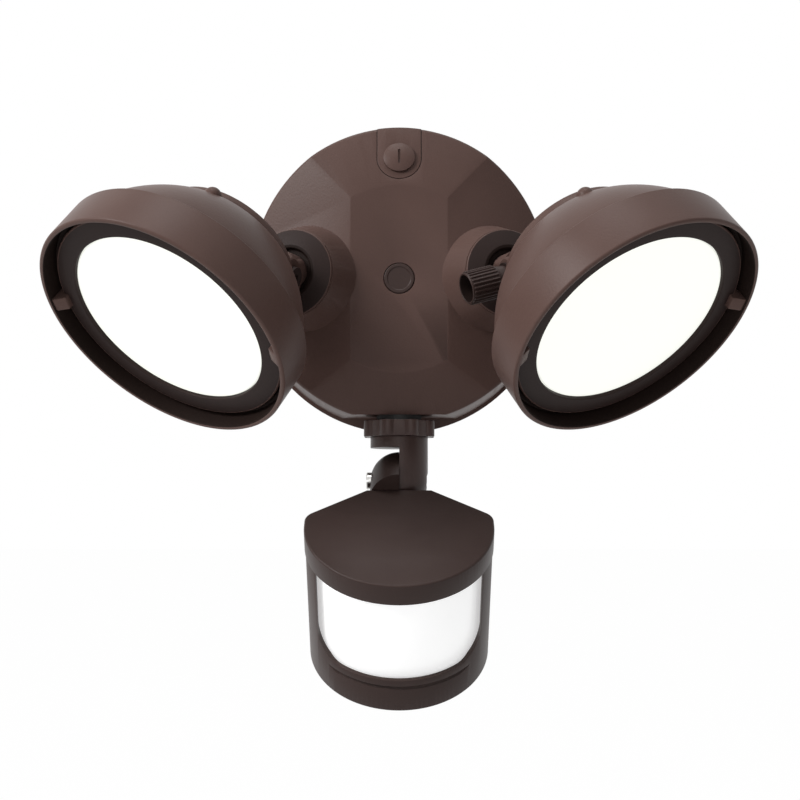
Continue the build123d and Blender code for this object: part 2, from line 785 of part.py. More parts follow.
def lock_nut():
    """Hand nut with rounded lobes around a plain core."""
    lobe_radius = lock_nut_radius - lock_nut_root + 1.2
    outline = Circle(lock_nut_root)
    for step in range(lock_nut_lobes):
        turn = (step + 0.5) * 360.0 / lock_nut_lobes
        outline += Rot(0, 0, turn) * Pos(lock_nut_radius - lobe_radius, 0) * Circle(lobe_radius)
    outline = fillet(outline.vertices(), 0.6)
    nut = extrude(outline, lock_nut_height)
    nut -= disc(sensor_stem_radius + running_gap, -1, lock_nut_height + 1)
    return Pos(0, -sensor_axis_depth, nut_bottom) * nut


def half_space(sign, gap):
    """Large block on one side of the sensor's centre plane."""
    return Pos(sign * (gap + through / 2), 0, 0) * Box(through, through, through)


def sensor_arm():
    axis = Pos(0, -sensor_axis_depth, 0)
    stem = axis * disc(sensor_stem_radius, disc_top - 0.5, chin_height + sensor_stem_inside)
    plate = axis * disc(arm_radius, disc_bottom, disc_top)
    limb = axis * disc(arm_radius, sensor_pivot.Z, disc_bottom + 0.5)
    ball = Pos(sensor_pivot.X, sensor_pivot.Y, sensor_pivot.Z) * Sphere(arm_radius)
    limb = (limb + ball) & half_space(1, knuckle_gap)
    arm = stem + plate + limb
    across = Pos(0, sensor_pivot.Y, sensor_pivot.Z) * Rot(0, 90, 0)
    arm -= across * disc(pivot_screw_radius + running_gap, -through, through)
    arm -= across * hexagon(pivot_nut_radius + 0.1, arm_radius - pivot_nut_thickness - 0.6, through)
    arm -= axis * disc(sensor_stem_radius - 2.0, disc_top - 3, chin_height + sensor_stem_inside + 1)
    return arm


def sensor_inner_nut():
    low = chin_height + skin + inner_pad_height + joint_gap
    nut = hexagon(inner_nut_radius, low, low + inner_nut_thickness)
    nut -= disc(sensor_stem_radius + screw_gap, low - 1, low + inner_nut_thickness + 1)
    return Pos(0, -sensor_axis_depth, 0) * nut


def sensor_pivot_screw():
    head = disc(pivot_screw_head_radius, -arm_radius - pivot_screw_head, -arm_radius + 1.2)
    head = chamfer(head.edges().group_by(Axis.Z)[0], 0.4)
    shank = disc(pivot_screw_radius, -arm_radius + 1.0, arm_radius - 0.8)
    slot = Pos(0, 0, -arm_radius - pivot_screw_head - 0.1) * Box(
        0.9, 3 * pivot_screw_head_radius, 1.0, align=(Align.CENTER, Align.CENTER, Align.MIN))
    across = Pos(0, sensor_pivot.Y, sensor_pivot.Z) * Rot(0, 90, 0)
    return across * (head + shank - slot)


def sensor_pivot_nut():
    across = Pos(0, sensor_pivot.Y, sensor_pivot.Z) * Rot(0, 90, 0)
    low = arm_radius - pivot_nut_thickness - 0.55
    nut = hexagon(pivot_nut_radius, low, low + pivot_nut_thickness)
    return across * (nut - disc(pivot_screw_radius + screw_gap, low - 1, low + 10))


def sensor_plan(inset):
    """Plan of the sensor head: narrow rear, wide shoulders, round front."""
    rear = -sensor_ahead - inset
    radius = sensor_radius - inset
    centre = -(sensor_ahead + sensor_centre)
    shoulder = -(sensor_ahead + sensor_shoulder)
    half_rear = sensor_rear_half - 0.6 * inset
    front = make_face(
        Polyline((radius, centre), (radius, shoulder), (half_rear, rear),
                 (-half_rear, rear), (-radius, shoulder), (-radius, centre))
        + ThreePointArc((-radius, centre), (0, centre - radius), (radius, centre)))
    corners = front.vertices().filter_by(lambda v: abs(v.Y - shoulder) < 0.01)
    return fillet(corners, sensor_corner - inset)


def prism(face, low, high):
    return Pos(0, 0, low) * extrude(face, high - low)


def sensor_visor():
    """Top cover: a lid with a deep skirt that shades the lens."""
    low = sensor_top - visor_height
    lid = prism(sensor_plan(0), low, sensor_top)
    lid = fillet(lid.edges().group_by(Axis.Z)[-1], 0.7)
    lid -= prism(sensor_plan(sensor_wall), low - 1, sensor_top - sensor_wall)
    centre = -(sensor_ahead + sensor_centre)
    for x in (-1, 1):
        column = Pos(x * cover_screw_spacing / 2, centre + cover_screw_back, 0)
        lid += column * disc(cover_column_radius, low, sensor_top - sensor_wall + 0.3)
        lid -= column * disc(small_screw_radius + screw_gap, low - 1, low + cover_screw_bite + 0.3)
    return lid


def window_tool(half_width, bottom, corner):
    """Rounded window outline, cut forwards from the round front's centre."""
    top = sensor_top - visor_height + 12
    low = sensor_top - bottom
    shape = Pos(0, (top + low) / 2) * Rectangle(2 * half_width, top - low)
    lower = shape.vertices().group_by(Axis.Y)[0]
    shape = fillet(lower, corner)
    plane = Plane(origin=(0, -(sensor_ahead + sensor_centre), 0), x_dir=(1, 0, 0), z_dir=(0, -1, 0))
    return plane.location * extrude(shape, sensor_radius + 5)


def behind(gap):
    """Everything nearer the wall than gap, in the sensor's frame."""
    world = Pos(0, through / 2 - gap, sensor_pivot.Z) * Box(through, through, through)
    return sensor_frame.location.inverse() * world


def sensor_housing():
    """Moulded body: rear wall, floor, lens frame and the stalk to the pivot."""
    low = sensor_top - sensor_height
    high = sensor_top - visor_height - joint_gap
    body = prism(sensor_plan(body_inset), low, high) - behind(wall_gap)
    body = fillet(body.edges().group_by(Axis.Z)[0], 1.2)
    hollow = prism(sensor_plan(sensor_wall + body_inset), low + sensor_wall, high + 1)
    hollow -= behind(wall_gap + sensor_wall)
    body -= hollow
    body -= window_tool(window_half_width, window_bottom, window_corner)
    centre = -(sensor_ahead + sensor_centre)
    inner_radius = sensor_radius - body_inset - sensor_wall + 0.05
    bevel = Pos(0, centre, sensor_top - bevel_bottom) * taper(
        sensor_radius + 0.6, inner_radius - 0.6, 0, bevel_bottom - window_bottom + 2.0)
    front_only = Pos(0, centre - 6 - through / 2, 0) * Box(2 * window_half_width, through, through)
    body -= bevel & front_only & window_tool(window_half_width, bevel_bottom, window_corner)
    stalk = Rot(90, 0, 0) * disc(arm_radius, 0, sensor_ahead + sensor_wall)
    ball = Sphere(arm_radius)
    swept = Rot(0, 90, 0) * disc(arm_radius + 0.4, -sensor_radius, sensor_radius)
    swept += Pos(0, 0, through / 2) * Box(2 * sensor_radius, 2 * sensor_ahead, through)
    lug = (stalk + ball) - (half_space(1, -knuckle_gap) & swept)
    above = sensor_top - visor_height - joint_gap
    lug -= Pos(0, -sensor_ahead - through / 2, above + through / 2) * Box(through, through, through)
    body += lug
    body -= hollow
    body -= Rot(0, 90, 0) * disc(pivot_screw_radius + running_gap, -through, through)
    body -= Rot(0, 90, 0) * disc(pivot_screw_head_radius + 0.2, -through, -arm_radius + 1.2)
    for x in (-1, 1):
        body -= Pos(x * knob_dial_spacing / 2, centre, 0) * disc(
            knob_shaft_radius + running_gap, low - 1, low + sensor_wall + 1)
        column = Pos(x * cover_screw_spacing / 2, centre + cover_screw_back, 0)
        body += column * disc(cover_column_radius, low + 0.5, high)
        body -= column * disc(small_screw_radius + screw_gap, low - 1, high + 1)
        body -= column * disc(small_head_radius + 0.2, low - 1, low + cover_screw_seat)
    return body


def fresnel_lens():
    """Thin curved window behind the frame."""
    centre = -(sensor_ahead + sensor_centre)
    radius = sensor_radius - body_inset - sensor_wall - fresnel_gap
    low = sensor_top - window_bottom - fresnel_overlap
    high = sensor_top - visor_height - joint_gap + 2.0
    shell = tube(radius, radius - fresnel_thickness, low, high)
    shell &= Pos(0, -through / 2, 0) * Box(through, through, through)
    return Pos(0, centre, 0) * shell


def sensor_board():
    """Upright board that carries the heat-sensing element."""
    y = -(sensor_ahead + sensor_shoulder)
    low = sensor_top - sensor_height + sensor_wall
    return Pos(0, y, low + 0.01) * Box(
        board_width, 1.6, board_height, align=(Align.CENTER, Align.CENTER, Align.MIN))


def pir_element():
    y = -(sensor_ahead + sensor_shoulder) - 0.82
    middle = sensor_top - (visor_height + window_bottom) / 2 - 2
    can = Pos(0, y, middle) * Rot(90, 0, 0) * disc(pir_radius, 0, pir_length)
    return can - Pos(0, y - pir_length, middle) * Box(4.0, 0.8, 3.0)


def pots():
    """Two small potentiometers on the floor of the sensor."""
    low = sensor_top - sensor_height + sensor_wall + 0.01
    centre = -(sensor_ahead + sensor_centre)
    pot = block(pot_side, pot_side, low, low + pot_height)
    pot -= disc(knob_shaft_radius + running_gap, low - 1, low + pot_height - 1)
    return [Pos(x * knob_dial_spacing / 2, centre, 0) * pot for x in (-1, 1)]


def setting_dial(side):
    """Small slotted dial under the sensor, on its own shaft."""
    low = sensor_top - sensor_height
    grip = disc(knob_dial_radius, low - knob_dial_drop, low - joint_gap)
    grip = chamfer(grip.edges().group_by(Axis.Z)[0], 0.4)
    grip -= Pos(0, 0, low - knob_dial_drop - 0.1) * Box(
        0.9, 1.5 * knob_dial_radius, 1.1, align=(Align.CENTER, Align.CENTER, Align.MIN))
    shaft = disc(knob_shaft_radius, low - 0.3, low + sensor_wall + pot_height - 1.4)
    return Pos(side * knob_dial_spacing / 2, -(sensor_ahead + sensor_centre), 0) * (grip + shaft)


def cover_screws():
    """Screws that hold the top cover, driven from below."""
    low = sensor_top - sensor_height + cover_screw_seat
    centre = -(sensor_ahead + sensor_centre)
    screw = small_screw(sensor_height - visor_height - cover_screw_seat + cover_screw_bite)
    return [Pos(x * cover_screw_spacing / 2, centre + cover_screw_back, low) * screw for x in (-1, 1)]


# ---------------------------------------------------------------- assembly
keep("canopy_housing", canopy_housing())
keep("wall_gasket", wall_gasket())
keep("mounting_strap", mounting_strap())
keep("canopy_bolt", canopy_bolt())
keep("plug_cap", plug_cap())
keep("driver_module", driver_module())
keep("driver_screws", driver_screws())
keep("selector_bezel", selector_bezel())
keep("selector_dial", selector_dial())
keep("selector_switch", selector_switch())

for side in ("right", "left"):
    flip = side == "left"
    on_boss = {
        "swivel_collar": swivel_collar(),
        "stem_gasket": stem_gasket(),
        "stem_nut": stem_nut(),
        "arm": lamp_arm(),
        "knob": placed(eye_frame, knob(flip)),
        "knob_washer": placed(eye_frame, washer(flip)),
        "pivot_bolt": placed(eye_frame, pivot_bolt(flip)),
    }
    on_head = {
        "lamp_visor": lamp_visor(),
        "lamp_lens": lamp_lens(),
        "lens_gasket": lens_gasket(),
        "reflector": lamp_reflector(),
        "led_board": led_board(),
        "led_chips": led_chips(),
        "lamp_housing": lamp_housing(),
        "housing_seal": housing_seal(),
        "head_screws": head_screws(),
    }
    for name, piece in on_boss.items():
        keep(f"{side}_{name}", [on_side(side, solid) for solid in solids_of(piece)])
    for name, piece in on_head.items():
        keep(f"{side}_{name}", [on_side(side, placed(head_frame, solid)) for solid in solids_of(piece)])

keep("sensor_seal", sensor_seal())
keep("sensor_lock_nut", lock_nut())
keep("sensor_arm", sensor_arm())
keep("sensor_inner_nut", sensor_inner_nut())
keep("sensor_pivot_screw", sensor_pivot_screw())
keep("sensor_pivot_nut", sensor_pivot_nut())

in_sensor = {
    "sensor_visor": sensor_visor(),
    "sensor_housing": sensor_housing(),
    "sensor_lens": fresnel_lens(),
    "sensor_board": sensor_board(),
    "pir_element": pir_element(),
    "setting_pots": pots(),
    "time_dial": setting_dial(-1),
    "range_dial": setting_dial(1),
    "sensor_cover_screws": cover_screws(),
}
for name, piece in in_sensor.items():
    keep(name, [placed(sensor_frame, solid) for solid in solids_of(piece)])

for name, solids in nodes.items():
    shape = solids[0] if len(solids) == 1 else Compound(children=solids)
    export_step(shape, f"parts/{name}.step")

print(len(nodes), "nodes")
for label, point, axis in (
    ("boss", boss_point, boss_axis), ("pivot", pivot_point, pivot_axis),
    ("rim", rim_point, lamp_axis), ("sensor", sensor_pivot, sensor_up),
    ("selector", selector_frame.origin, selector_frame.z_dir),
):
    print(label, [round(v, 5) for v in point], [round(v, 6) for v in axis])
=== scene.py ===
"""Dresses a twin-head motion sensor security light: turned heads, ribbed knobs, screws, finishes and studio.

Sizes are in metres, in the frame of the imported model: +X right, +Y into the wall, +Z up.
"""
import json
import logging
import math
from dataclasses import KW_ONLY, dataclass, field
from enum import Enum
from functools import cache
from typing import Callable, Iterable, Sequence

import bmesh
import bpy
from bpy.types import Material, Mesh, Node, NodeSocket, NodeTree, Object
from mathutils import Matrix, Vector


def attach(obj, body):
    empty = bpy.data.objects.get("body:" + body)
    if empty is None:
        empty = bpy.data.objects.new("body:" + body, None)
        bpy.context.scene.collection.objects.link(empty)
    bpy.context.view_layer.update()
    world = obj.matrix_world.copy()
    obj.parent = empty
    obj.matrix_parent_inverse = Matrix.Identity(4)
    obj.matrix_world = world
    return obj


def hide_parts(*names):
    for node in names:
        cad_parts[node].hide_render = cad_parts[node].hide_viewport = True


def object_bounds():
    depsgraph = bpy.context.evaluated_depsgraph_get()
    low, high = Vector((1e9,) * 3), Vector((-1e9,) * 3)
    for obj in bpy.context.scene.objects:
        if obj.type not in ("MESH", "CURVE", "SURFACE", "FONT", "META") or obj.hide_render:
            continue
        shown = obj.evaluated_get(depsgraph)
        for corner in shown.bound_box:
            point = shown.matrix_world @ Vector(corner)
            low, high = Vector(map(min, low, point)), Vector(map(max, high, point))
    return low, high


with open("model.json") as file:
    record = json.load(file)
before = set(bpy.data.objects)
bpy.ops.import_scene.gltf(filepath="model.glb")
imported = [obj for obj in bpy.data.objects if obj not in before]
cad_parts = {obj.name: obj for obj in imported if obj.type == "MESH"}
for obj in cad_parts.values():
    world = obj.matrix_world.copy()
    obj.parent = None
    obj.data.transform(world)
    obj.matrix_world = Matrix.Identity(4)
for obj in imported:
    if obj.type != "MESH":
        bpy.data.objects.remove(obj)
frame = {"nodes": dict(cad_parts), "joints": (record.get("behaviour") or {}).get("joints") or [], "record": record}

CAD_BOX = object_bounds()
LOG = logging.getLogger("security_light")
MM = 0.001
Point = tuple[float, float]


class Side(Enum):
    """Which lamp a piece belongs to; the left is the mirror image of the right."""

    RIGHT = "right"
    LEFT = "left"

    @property
    def mirror(self) -> Matrix:
        """The transform from the right-hand piece to this side's."""
        sign = 1.0 if self is Side.RIGHT else -1.0
        return Matrix.Diagonal((sign, 1.0, 1.0, 1.0))


# ---------------------------------------------------------------- places
def axes_frame(origin: Vector, x_axis: Vector, z_axis: Vector) -> Matrix:
    """Builds the matrix of a local frame.

    Args:
        origin: the frame's origin.
        x_axis: its x direction.
        z_axis: its z direction.

    Returns:
        The matrix from the local frame to the model's.
    """
    z_unit = z_axis.normalized()
    x_unit = (x_axis - x_axis.project(z_unit)).normalized()
    y_unit = z_unit.cross(x_unit)
    rotation = Matrix((x_unit, y_unit, z_unit)).transposed().to_4x4()
    return Matrix.Translation(origin) @ rotation


@dataclass(frozen=True)
class Places:
    """Where the right-hand lamp and the selector sit, taken from the model's own joints."""

    head_tilt: float = math.radians(50.9)
    head_ahead: float = 56.145 * MM
    head_aside: float = 10.64 * MM
    head_above: float = 18.643 * MM

    def joint(self, name: str) -> tuple[Vector, Vector]:
        """Finds a joint by name.

        Args:
            name: the joint's name.

        Returns:
            Its point and its axis.
        """
        found = next(j for j in frame["joints"] if j["name"] == name)
        return Vector(found["pos_m"]), Vector(found["axis"]).normalized()

    @property
    def boss(self) -> Matrix:
        """The lamp boss: z out of the boss, x level along the facet."""
        point, axis = self.joint("right_arm_swivel")
        return axes_frame(point, Vector((0, 0, 1)).cross(axis), axis)

    @property
    def eye(self) -> Matrix:
        """The arm's eye: z along the pivot, x along the lamp's axis."""
        point, axis = self.joint("right_head_tilt")
        return axes_frame(point, self.lamp_axis, axis)

    @property
    def lamp_axis(self) -> Vector:
        """The direction in which the right-hand lamp shines."""
        _, boss_axis = self.joint("right_arm_swivel")
        _, pivot_axis = self.joint("right_head_tilt")
        side = boss_axis.cross(pivot_axis)
        return (boss_axis * math.cos(self.head_tilt) - side * math.sin(self.head_tilt)).normalized()

    @property
    def head(self) -> Matrix:
        """The lamp head: origin in the rim plane, z along the lamp's axis."""
        point, axis = self.joint("right_head_tilt")
        lamp_side = axis.cross(self.lamp_axis)
        rim = (point + self.lamp_axis * self.head_ahead + axis * self.head_aside
               - lamp_side * self.head_above)
        return axes_frame(rim, axis, self.lamp_axis)

    @property
    def selector(self) -> Matrix:
        """The mode selector: z out of the tab."""
        point, axis = self.joint("selector_turn")
        return axes_frame(point, Vector((1, 0, 0)), axis)


PLACES = Places()


# ---------------------------------------------------------------- node groups
def fill_inputs(tree: NodeTree, node: Node, values: dict[str | int, object]) -> None:
    """Gives a node's inputs their sockets or fixed values.

    Args:
        tree: the tree that holds the node.
        node: the node.
        values: a socket or a value for each input, by name or number.
    """
    for label, item in values.items():
        socket = node.inputs[label]
        if isinstance(item, NodeSocket):
            tree.links.new(item, socket)
        else:
            socket.default_value = item


def new_group(name: str, inputs: dict[str, float], outputs: Sequence[str]) -> NodeTree:
    """Starts a shader node group with named float inputs and outputs.

    Args:
        name: the group's name.
        inputs: each input's name and default.
        outputs: each output's name.

    Returns:
        The tree, with its input and output nodes in place.
    """
    tree = bpy.data.node_groups.new(name, "ShaderNodeTree")
    for label, value in inputs.items():
        socket = tree.interface.new_socket(name=label, in_out="INPUT", socket_type="NodeSocketFloat")
        socket.default_value = value
    for label in outputs:
        tree.interface.new_socket(name=label, in_out="OUTPUT", socket_type="NodeSocketFloat")
    tree.nodes.new("NodeGroupInput").name = "in"
    tree.nodes.new("NodeGroupOutput").name = "out"
    return tree


def noise_node(tree: NodeTree, vector: NodeSocket, scale: NodeSocket,
               detail: float) -> NodeSocket:
    """Adds a noise texture.

    Args:
        tree: the tree that gets it.
        vector: the coordinates it reads.
        scale: its scale.
        detail: its octaves.

    Returns:
        The noise, from 0 to 1.
    """
    node = tree.nodes.new("ShaderNodeTexNoise")
    fill_inputs(tree, node, {"Vector": vector, "Scale": scale, "Detail": detail})
    return node.outputs["Fac"]


def math_node(tree: NodeTree, operation: str, first: NodeSocket | float,
              second: NodeSocket | float, third: float | None = None,
              clamp: bool = False) -> NodeSocket:
    """Adds a math node.

    Args:
        tree: the tree that gets it.
        operation: Blender's name of the operation.
        first: the first value or socket.
        second: the second value or socket.
        third: the third value, where the operation has one.
        clamp: whether the result stays from 0 to 1.

    Returns:
        The node's result.
    """
    node = tree.nodes.new("ShaderNodeMath")
    node.operation = operation
    node.use_clamp = clamp
    given = enumerate((first, second, third))
    fill_inputs(tree, node, {number: value for number, value in given if value is not None})
    return node.outputs[0]


@cache
def coat_texture_group() -> NodeTree:
    """Orange peel, cloudy tone and fine speckle of a sprayed or moulded surface.

    Returns:
        A group with Tone, Rough and Height outputs, all from 0 to 1.
    """
    tree = new_group(
        "coat_texture",
        {"Cloud Scale": 30.0, "Peel Scale": 900.0, "Speckle Scale": 2600.0, "Speckle Share": 0.35},
        ("Tone", "Rough", "Height"))
    inputs, outputs = tree.nodes["in"], tree.nodes["out"]
    coords = tree.nodes.new("ShaderNodeTexCoord").outputs["Object"]
    cloud = noise_node(tree, coords, inputs.outputs["Cloud Scale"], 3.0)
    peel = noise_node(tree, coords, inputs.outputs["Peel Scale"], 1.0)
    speckle = noise_node(tree, coords, inputs.outputs["Speckle Scale"], 2.0)
    share = inputs.outputs["Speckle Share"]
    mixed = math_node(tree, "MULTIPLY", speckle, share)
    height = math_node(tree, "ADD", peel, mixed)
    tone = math_node(tree, "MULTIPLY", speckle, 0.4)
    tone = math_node(tree, "ADD", tone, math_node(tree, "MULTIPLY", cloud, 0.6))
    fill_inputs(tree, outputs, {"Tone": tone, "Rough": cloud, "Height": height})
    return tree


@cache
def brushed_group() -> NodeTree:
    """Fine streaks and handling marks of drawn or turned metal.

    Returns:
        A group with Tone, Rough and Height outputs.
    """
    tree = new_group(
        "brushed_marks", {"Streak Scale": 500.0, "Stretch": 0.06, "Smudge Scale": 90.0},
        ("Tone", "Rough", "Height"))
    inputs, outputs = tree.nodes["in"], tree.nodes["out"]
    coords = tree.nodes.new("ShaderNodeTexCoord").outputs["Object"]
    squeeze = tree.nodes.new("ShaderNodeVectorMath")
    squeeze.operation = "MULTIPLY"
    combine = tree.nodes.new("ShaderNodeCombineXYZ")
    fill_inputs(tree, combine, {"X": inputs.outputs["Stretch"], "Y": 1.0, "Z": 1.0})
    fill_inputs(tree, squeeze, {0: coords, 1: combine.outputs[0]})
    streak = noise_node(tree, squeeze.outputs[0], inputs.outputs["Streak Scale"], 2.0)
    smudge = noise_node(tree, coords, inputs.outputs["Smudge Scale"], 3.0)
    fill_inputs(tree, outputs, {"Tone": streak, "Rough": smudge, "Height": streak})
    return tree


@cache
def dust_group() -> NodeTree:
    """Thin dust that settles on faces turned upwards.

    Returns:
        A group with one Mask output.
    """
    tree = new_group("settled_dust", {"Amount": 0.05, "Patch Scale": 60.0}, ("Mask",))
    inputs, outputs = tree.nodes["in"], tree.nodes["out"]
    coords = tree.nodes.new("ShaderNodeTexCoord").outputs["Object"]
    facing = tree.nodes.new("ShaderNodeSeparateXYZ")
    tree.links.new(tree.nodes.new("ShaderNodeNewGeometry").outputs["Normal"], facing.inputs[0])
    upward = math_node(tree, "MAXIMUM", facing.outputs["Z"], 0.0)
    patches = noise_node(tree, coords, inputs.outputs["Patch Scale"], 4.0)
    mask = math_node(tree, "MULTIPLY", upward, patches)
    mask = math_node(tree, "MULTIPLY", mask, inputs.outputs["Amount"], clamp=True)
    tree.links.new(mask, outputs.inputs["Mask"])
    return tree


GROUPS: dict[str, Callable[[], NodeTree]] = {
    "coat": coat_texture_group, "brushed": brushed_group, "dust": dust_group}


# ---------------------------------------------------------------- finishes
Colour = tuple[float, float, float]
DUST_COLOUR: Colour = (0.55, 0.52, 0.48)


def place_group(tree: NodeTree, name: str, values: dict[str, float]) -> Node:
    """Places a shared group in a material.

    Args:
        tree: the material's tree.
        name: the shared group's name.
        values: its inputs in this material.

    Returns:
        The group node.
    """
    node = tree.nodes.new("ShaderNodeGroup")
    node.node_tree = GROUPS[name]()
    fill_inputs(tree, node, values)
    return node


def colour_between(tree: NodeTree, mask: NodeSocket, low: Colour | NodeSocket,
                   high: Colour) -> NodeSocket:
    """Mixes two colours by a mask.

    Args:
        tree: the material's tree.
        mask: 0 for low, 1 for high.
        low: the first colour, fixed or from a socket.
        high: the second colour.

    Returns:
        The mixed colour.
    """
    mix = tree.nodes.new("ShaderNodeMix")
    mix.data_type = "RGBA"
    first = low if isinstance(low, NodeSocket) else (*low, 1.0)
    fill_inputs(tree, mix, {"Factor": mask, "A": first, "B": (*high, 1.0)})
    return mix.outputs["Result"]


def add_bump(tree: NodeTree, shader: Node, height: NodeSocket,
             distance: float, strength: float) -> None:
    """Gives a shader relief from a height.

    Args:
        tree: the material's tree.
        shader: the Principled shader.
        height: the relief, from 0 to about 1.
        distance: how deep it is, in metres.
        strength: how strongly it shows.
    """
    bump = tree.nodes.new("ShaderNodeBump")
    fill_inputs(tree, bump, {"Distance": distance, "Strength": strength, "Height": height})
    fill_inputs(tree, shader, {"Normal": bump.outputs["Normal"]})


def start_material(name: str) -> tuple[Material, NodeTree, Node]:
    """Starts a node material.

    Args:
        name: the material's name.

    Returns:
        The material, its tree and its Principled shader.
    """
    material = bpy.data.materials.new(name)
    material.use_nodes = True
    tree = material.node_tree
    return material, tree, tree.nodes["Principled BSDF"]


@dataclass(frozen=True)
class Finish:
    """Two tones, a roughness and a fine relief, which every finish has."""

    name: str
    dark: Colour
    light: Colour
    roughness: float
    _: KW_ONLY
    roughness_spread: float = 0.08
    depth: float = 0.00008
    strength: float = 0.5

    def texture(self, tree: NodeTree, shader: Node, grain: Node, least: float) -> NodeSocket:
        """Gives a shader a grain's tone, roughness and relief.

        Args:
            tree: the material's tree.
            shader: the Principled shader.
            grain: a group node with Tone, Rough and Height outputs.
            least: the lowest roughness.

        Returns:
            The colour between the two tones.
        """
        tone = colour_between(tree, grain.outputs["Tone"], self.dark, self.light)
        rough = math_node(tree, "MULTIPLY_ADD", grain.outputs["Rough"], self.roughness_spread,
                          least, clamp=True)
        fill_inputs(tree, shader, {"Base Color": tone, "Roughness": rough})
        add_bump(tree, shader, grain.outputs["Height"], self.depth, self.strength)
        return tone


@dataclass(frozen=True)
class CoatedFinish(Finish):
    """Sprayed metal or moulded plastic with a fine grain."""

    _: KW_ONLY
    peel_scale: float = 900.0
    speckle_share: float = 0.35
    dust: float = 0.05
    specular: float = 0.5

    def build(self) -> Material:
        """Makes the node material."""
        material, tree, shader = start_material(self.name)
        grain = place_group(tree, "coat", {
            "Peel Scale": self.peel_scale, "Speckle Share": self.speckle_share})
        settled = place_group(tree, "dust", {"Amount": self.dust})
        tone = self.texture(tree, shader, grain, self.roughness - self.roughness_spread / 2)
        dusted = colour_between(tree, settled.outputs["Mask"], tone, DUST_COLOUR)
        fill_inputs(tree, shader, {"Base Color": dusted, "Specular IOR Level": self.specular})
        return material


@dataclass(frozen=True)
class MetalFinish(Finish):
    """Bare metal with fine streaks."""

    _: KW_ONLY
    roughness_spread: float = 0.18
    depth: float = 0.00002
    strength: float = 0.4
    streak_scale: float = 500.0

    def build(self) -> Material:
        """Makes the node material."""
        material, tree, shader = start_material(self.name)
        marks = place_group(tree, "brushed", {"Streak Scale": self.streak_scale})
        self.texture(tree, shader, marks, self.roughness - self.roughness_spread / 2)
        fill_inputs(tree, shader, {"Metallic": 1.0})
        return material


@dataclass(frozen=True)
class DiffuserFinish(Finish):
    """Milky plastic of a lamp lens or a sensor window, with an emission: the lens glows as the lit lamp, and the
    sensor window's glow is painted light.
    """

    glow: float
    stipple_scale: float
    glow_colour: Colour = (1.0, 1.0, 1.0)
    _: KW_ONLY
    roughness_spread: float = 0.06
    depth: float = 0.00004
    strength: float = 0.35
    coat: float = 0.2
    coat_roughness: float = 0.15
    speckle_share: float = 0.2

    def build(self) -> Material:
        """Makes the node material."""
        material, tree, shader = start_material(self.name)
        grain = place_group(tree, "coat", {
            "Peel Scale": self.stipple_scale, "Speckle Share": self.speckle_share})
        self.texture(tree, shader, grain, self.roughness)
        fill_inputs(tree, shader, {
            "Emission Color": (*self.glow_colour, 1.0), "Emission Strength": self.glow,
            "Coat Weight": self.coat, "Coat Roughness": self.coat_roughness})
        return material


class Finishes:
    """Every finish of the light, by the record's material slot."""

    TABLE = (
        CoatedFinish("bronze", (0.069, 0.040, 0.034), (0.110, 0.066, 0.056), 0.38, peel_scale=1100.0,
                     specular=0.11, dust=0.02),
        CoatedFinish("bronze_plastic", (0.030, 0.017, 0.015), (0.046, 0.028, 0.024), 0.40,
                     peel_scale=1600.0, depth=0.00005, speckle_share=0.6, specular=0.16, dust=0.015),
        # The next two finishes are darker copies of the bronze, as painted shade: the first for recesses and parts
        # in shade, the second, near black, for the deepest hollows.
        CoatedFinish("bronze_painted_shade", (0.018, 0.011, 0.010), (0.030, 0.019, 0.017), 0.50,
                     peel_scale=1600.0, specular=0.10, dust=0.0),
        CoatedFinish("bronze_painted_deep_shade", (0.011, 0.007, 0.006), (0.020, 0.012, 0.010), 0.55,
                     peel_scale=1600.0, specular=0.06, dust=0.0),
        # The next finish is a lighter, glossier copy of the moulded bronze plastic; its sheen comes from its
        # specular, and its lighter tone is painted light on parts that catch the lamps.
        CoatedFinish("bronze_satin_painted_light", (0.050, 0.030, 0.027), (0.076, 0.048, 0.042), 0.36,
                     peel_scale=1300.0, specular=0.2, dust=0.015),
        MetalFinish("bright_steel", (0.50, 0.49, 0.47), (0.72, 0.71, 0.69), 0.28),
        MetalFinish("zinc_steel", (0.40, 0.40, 0.39), (0.60, 0.60, 0.58), 0.42, streak_scale=260.0),
        CoatedFinish("rubber", (0.018, 0.018, 0.018), (0.034, 0.034, 0.034), 0.75, dust=0.12),
        DiffuserFinish("frosted_lens", (0.20, 0.20, 0.19), (0.24, 0.24, 0.23), 0.30, 0.85, 2200.0,
                       (0.985, 1.0, 0.93)),
        # The sensor window's glow is painted light: the window is no lamp, and the emission keeps it white.
        DiffuserFinish("fresnel", (0.62, 0.62, 0.62), (0.70, 0.70, 0.70), 0.32, 0.52, 1400.0),
        CoatedFinish("white_plastic", (0.78, 0.78, 0.76), (0.86, 0.86, 0.84), 0.4),
        CoatedFinish("board", (0.70, 0.71, 0.69), (0.80, 0.81, 0.79), 0.45),
        CoatedFinish("green_board", (0.015, 0.09, 0.04), (0.03, 0.14, 0.07), 0.4),
        DiffuserFinish("led", (0.85, 0.62, 0.12), (0.95, 0.75, 0.22), 0.3, 0.0, 1800.0),
        CoatedFinish("black_plastic", (0.016, 0.016, 0.016), (0.03, 0.03, 0.03), 0.5),
    )
    _made: dict[str, Material] = {}

    @classmethod
    def get(cls, name: str) -> Material:
        """The material of a slot, built if it isn't there yet."""
        if name not in cls._made:
            cls._made[name] = next(f for f in cls.TABLE if f.name == name).build()
        return cls._made[name]


SLOT_OF_NODE: dict[str, str] = {
    row["node"]: row["material_slot"] for row in frame["record"]["subparts"]}


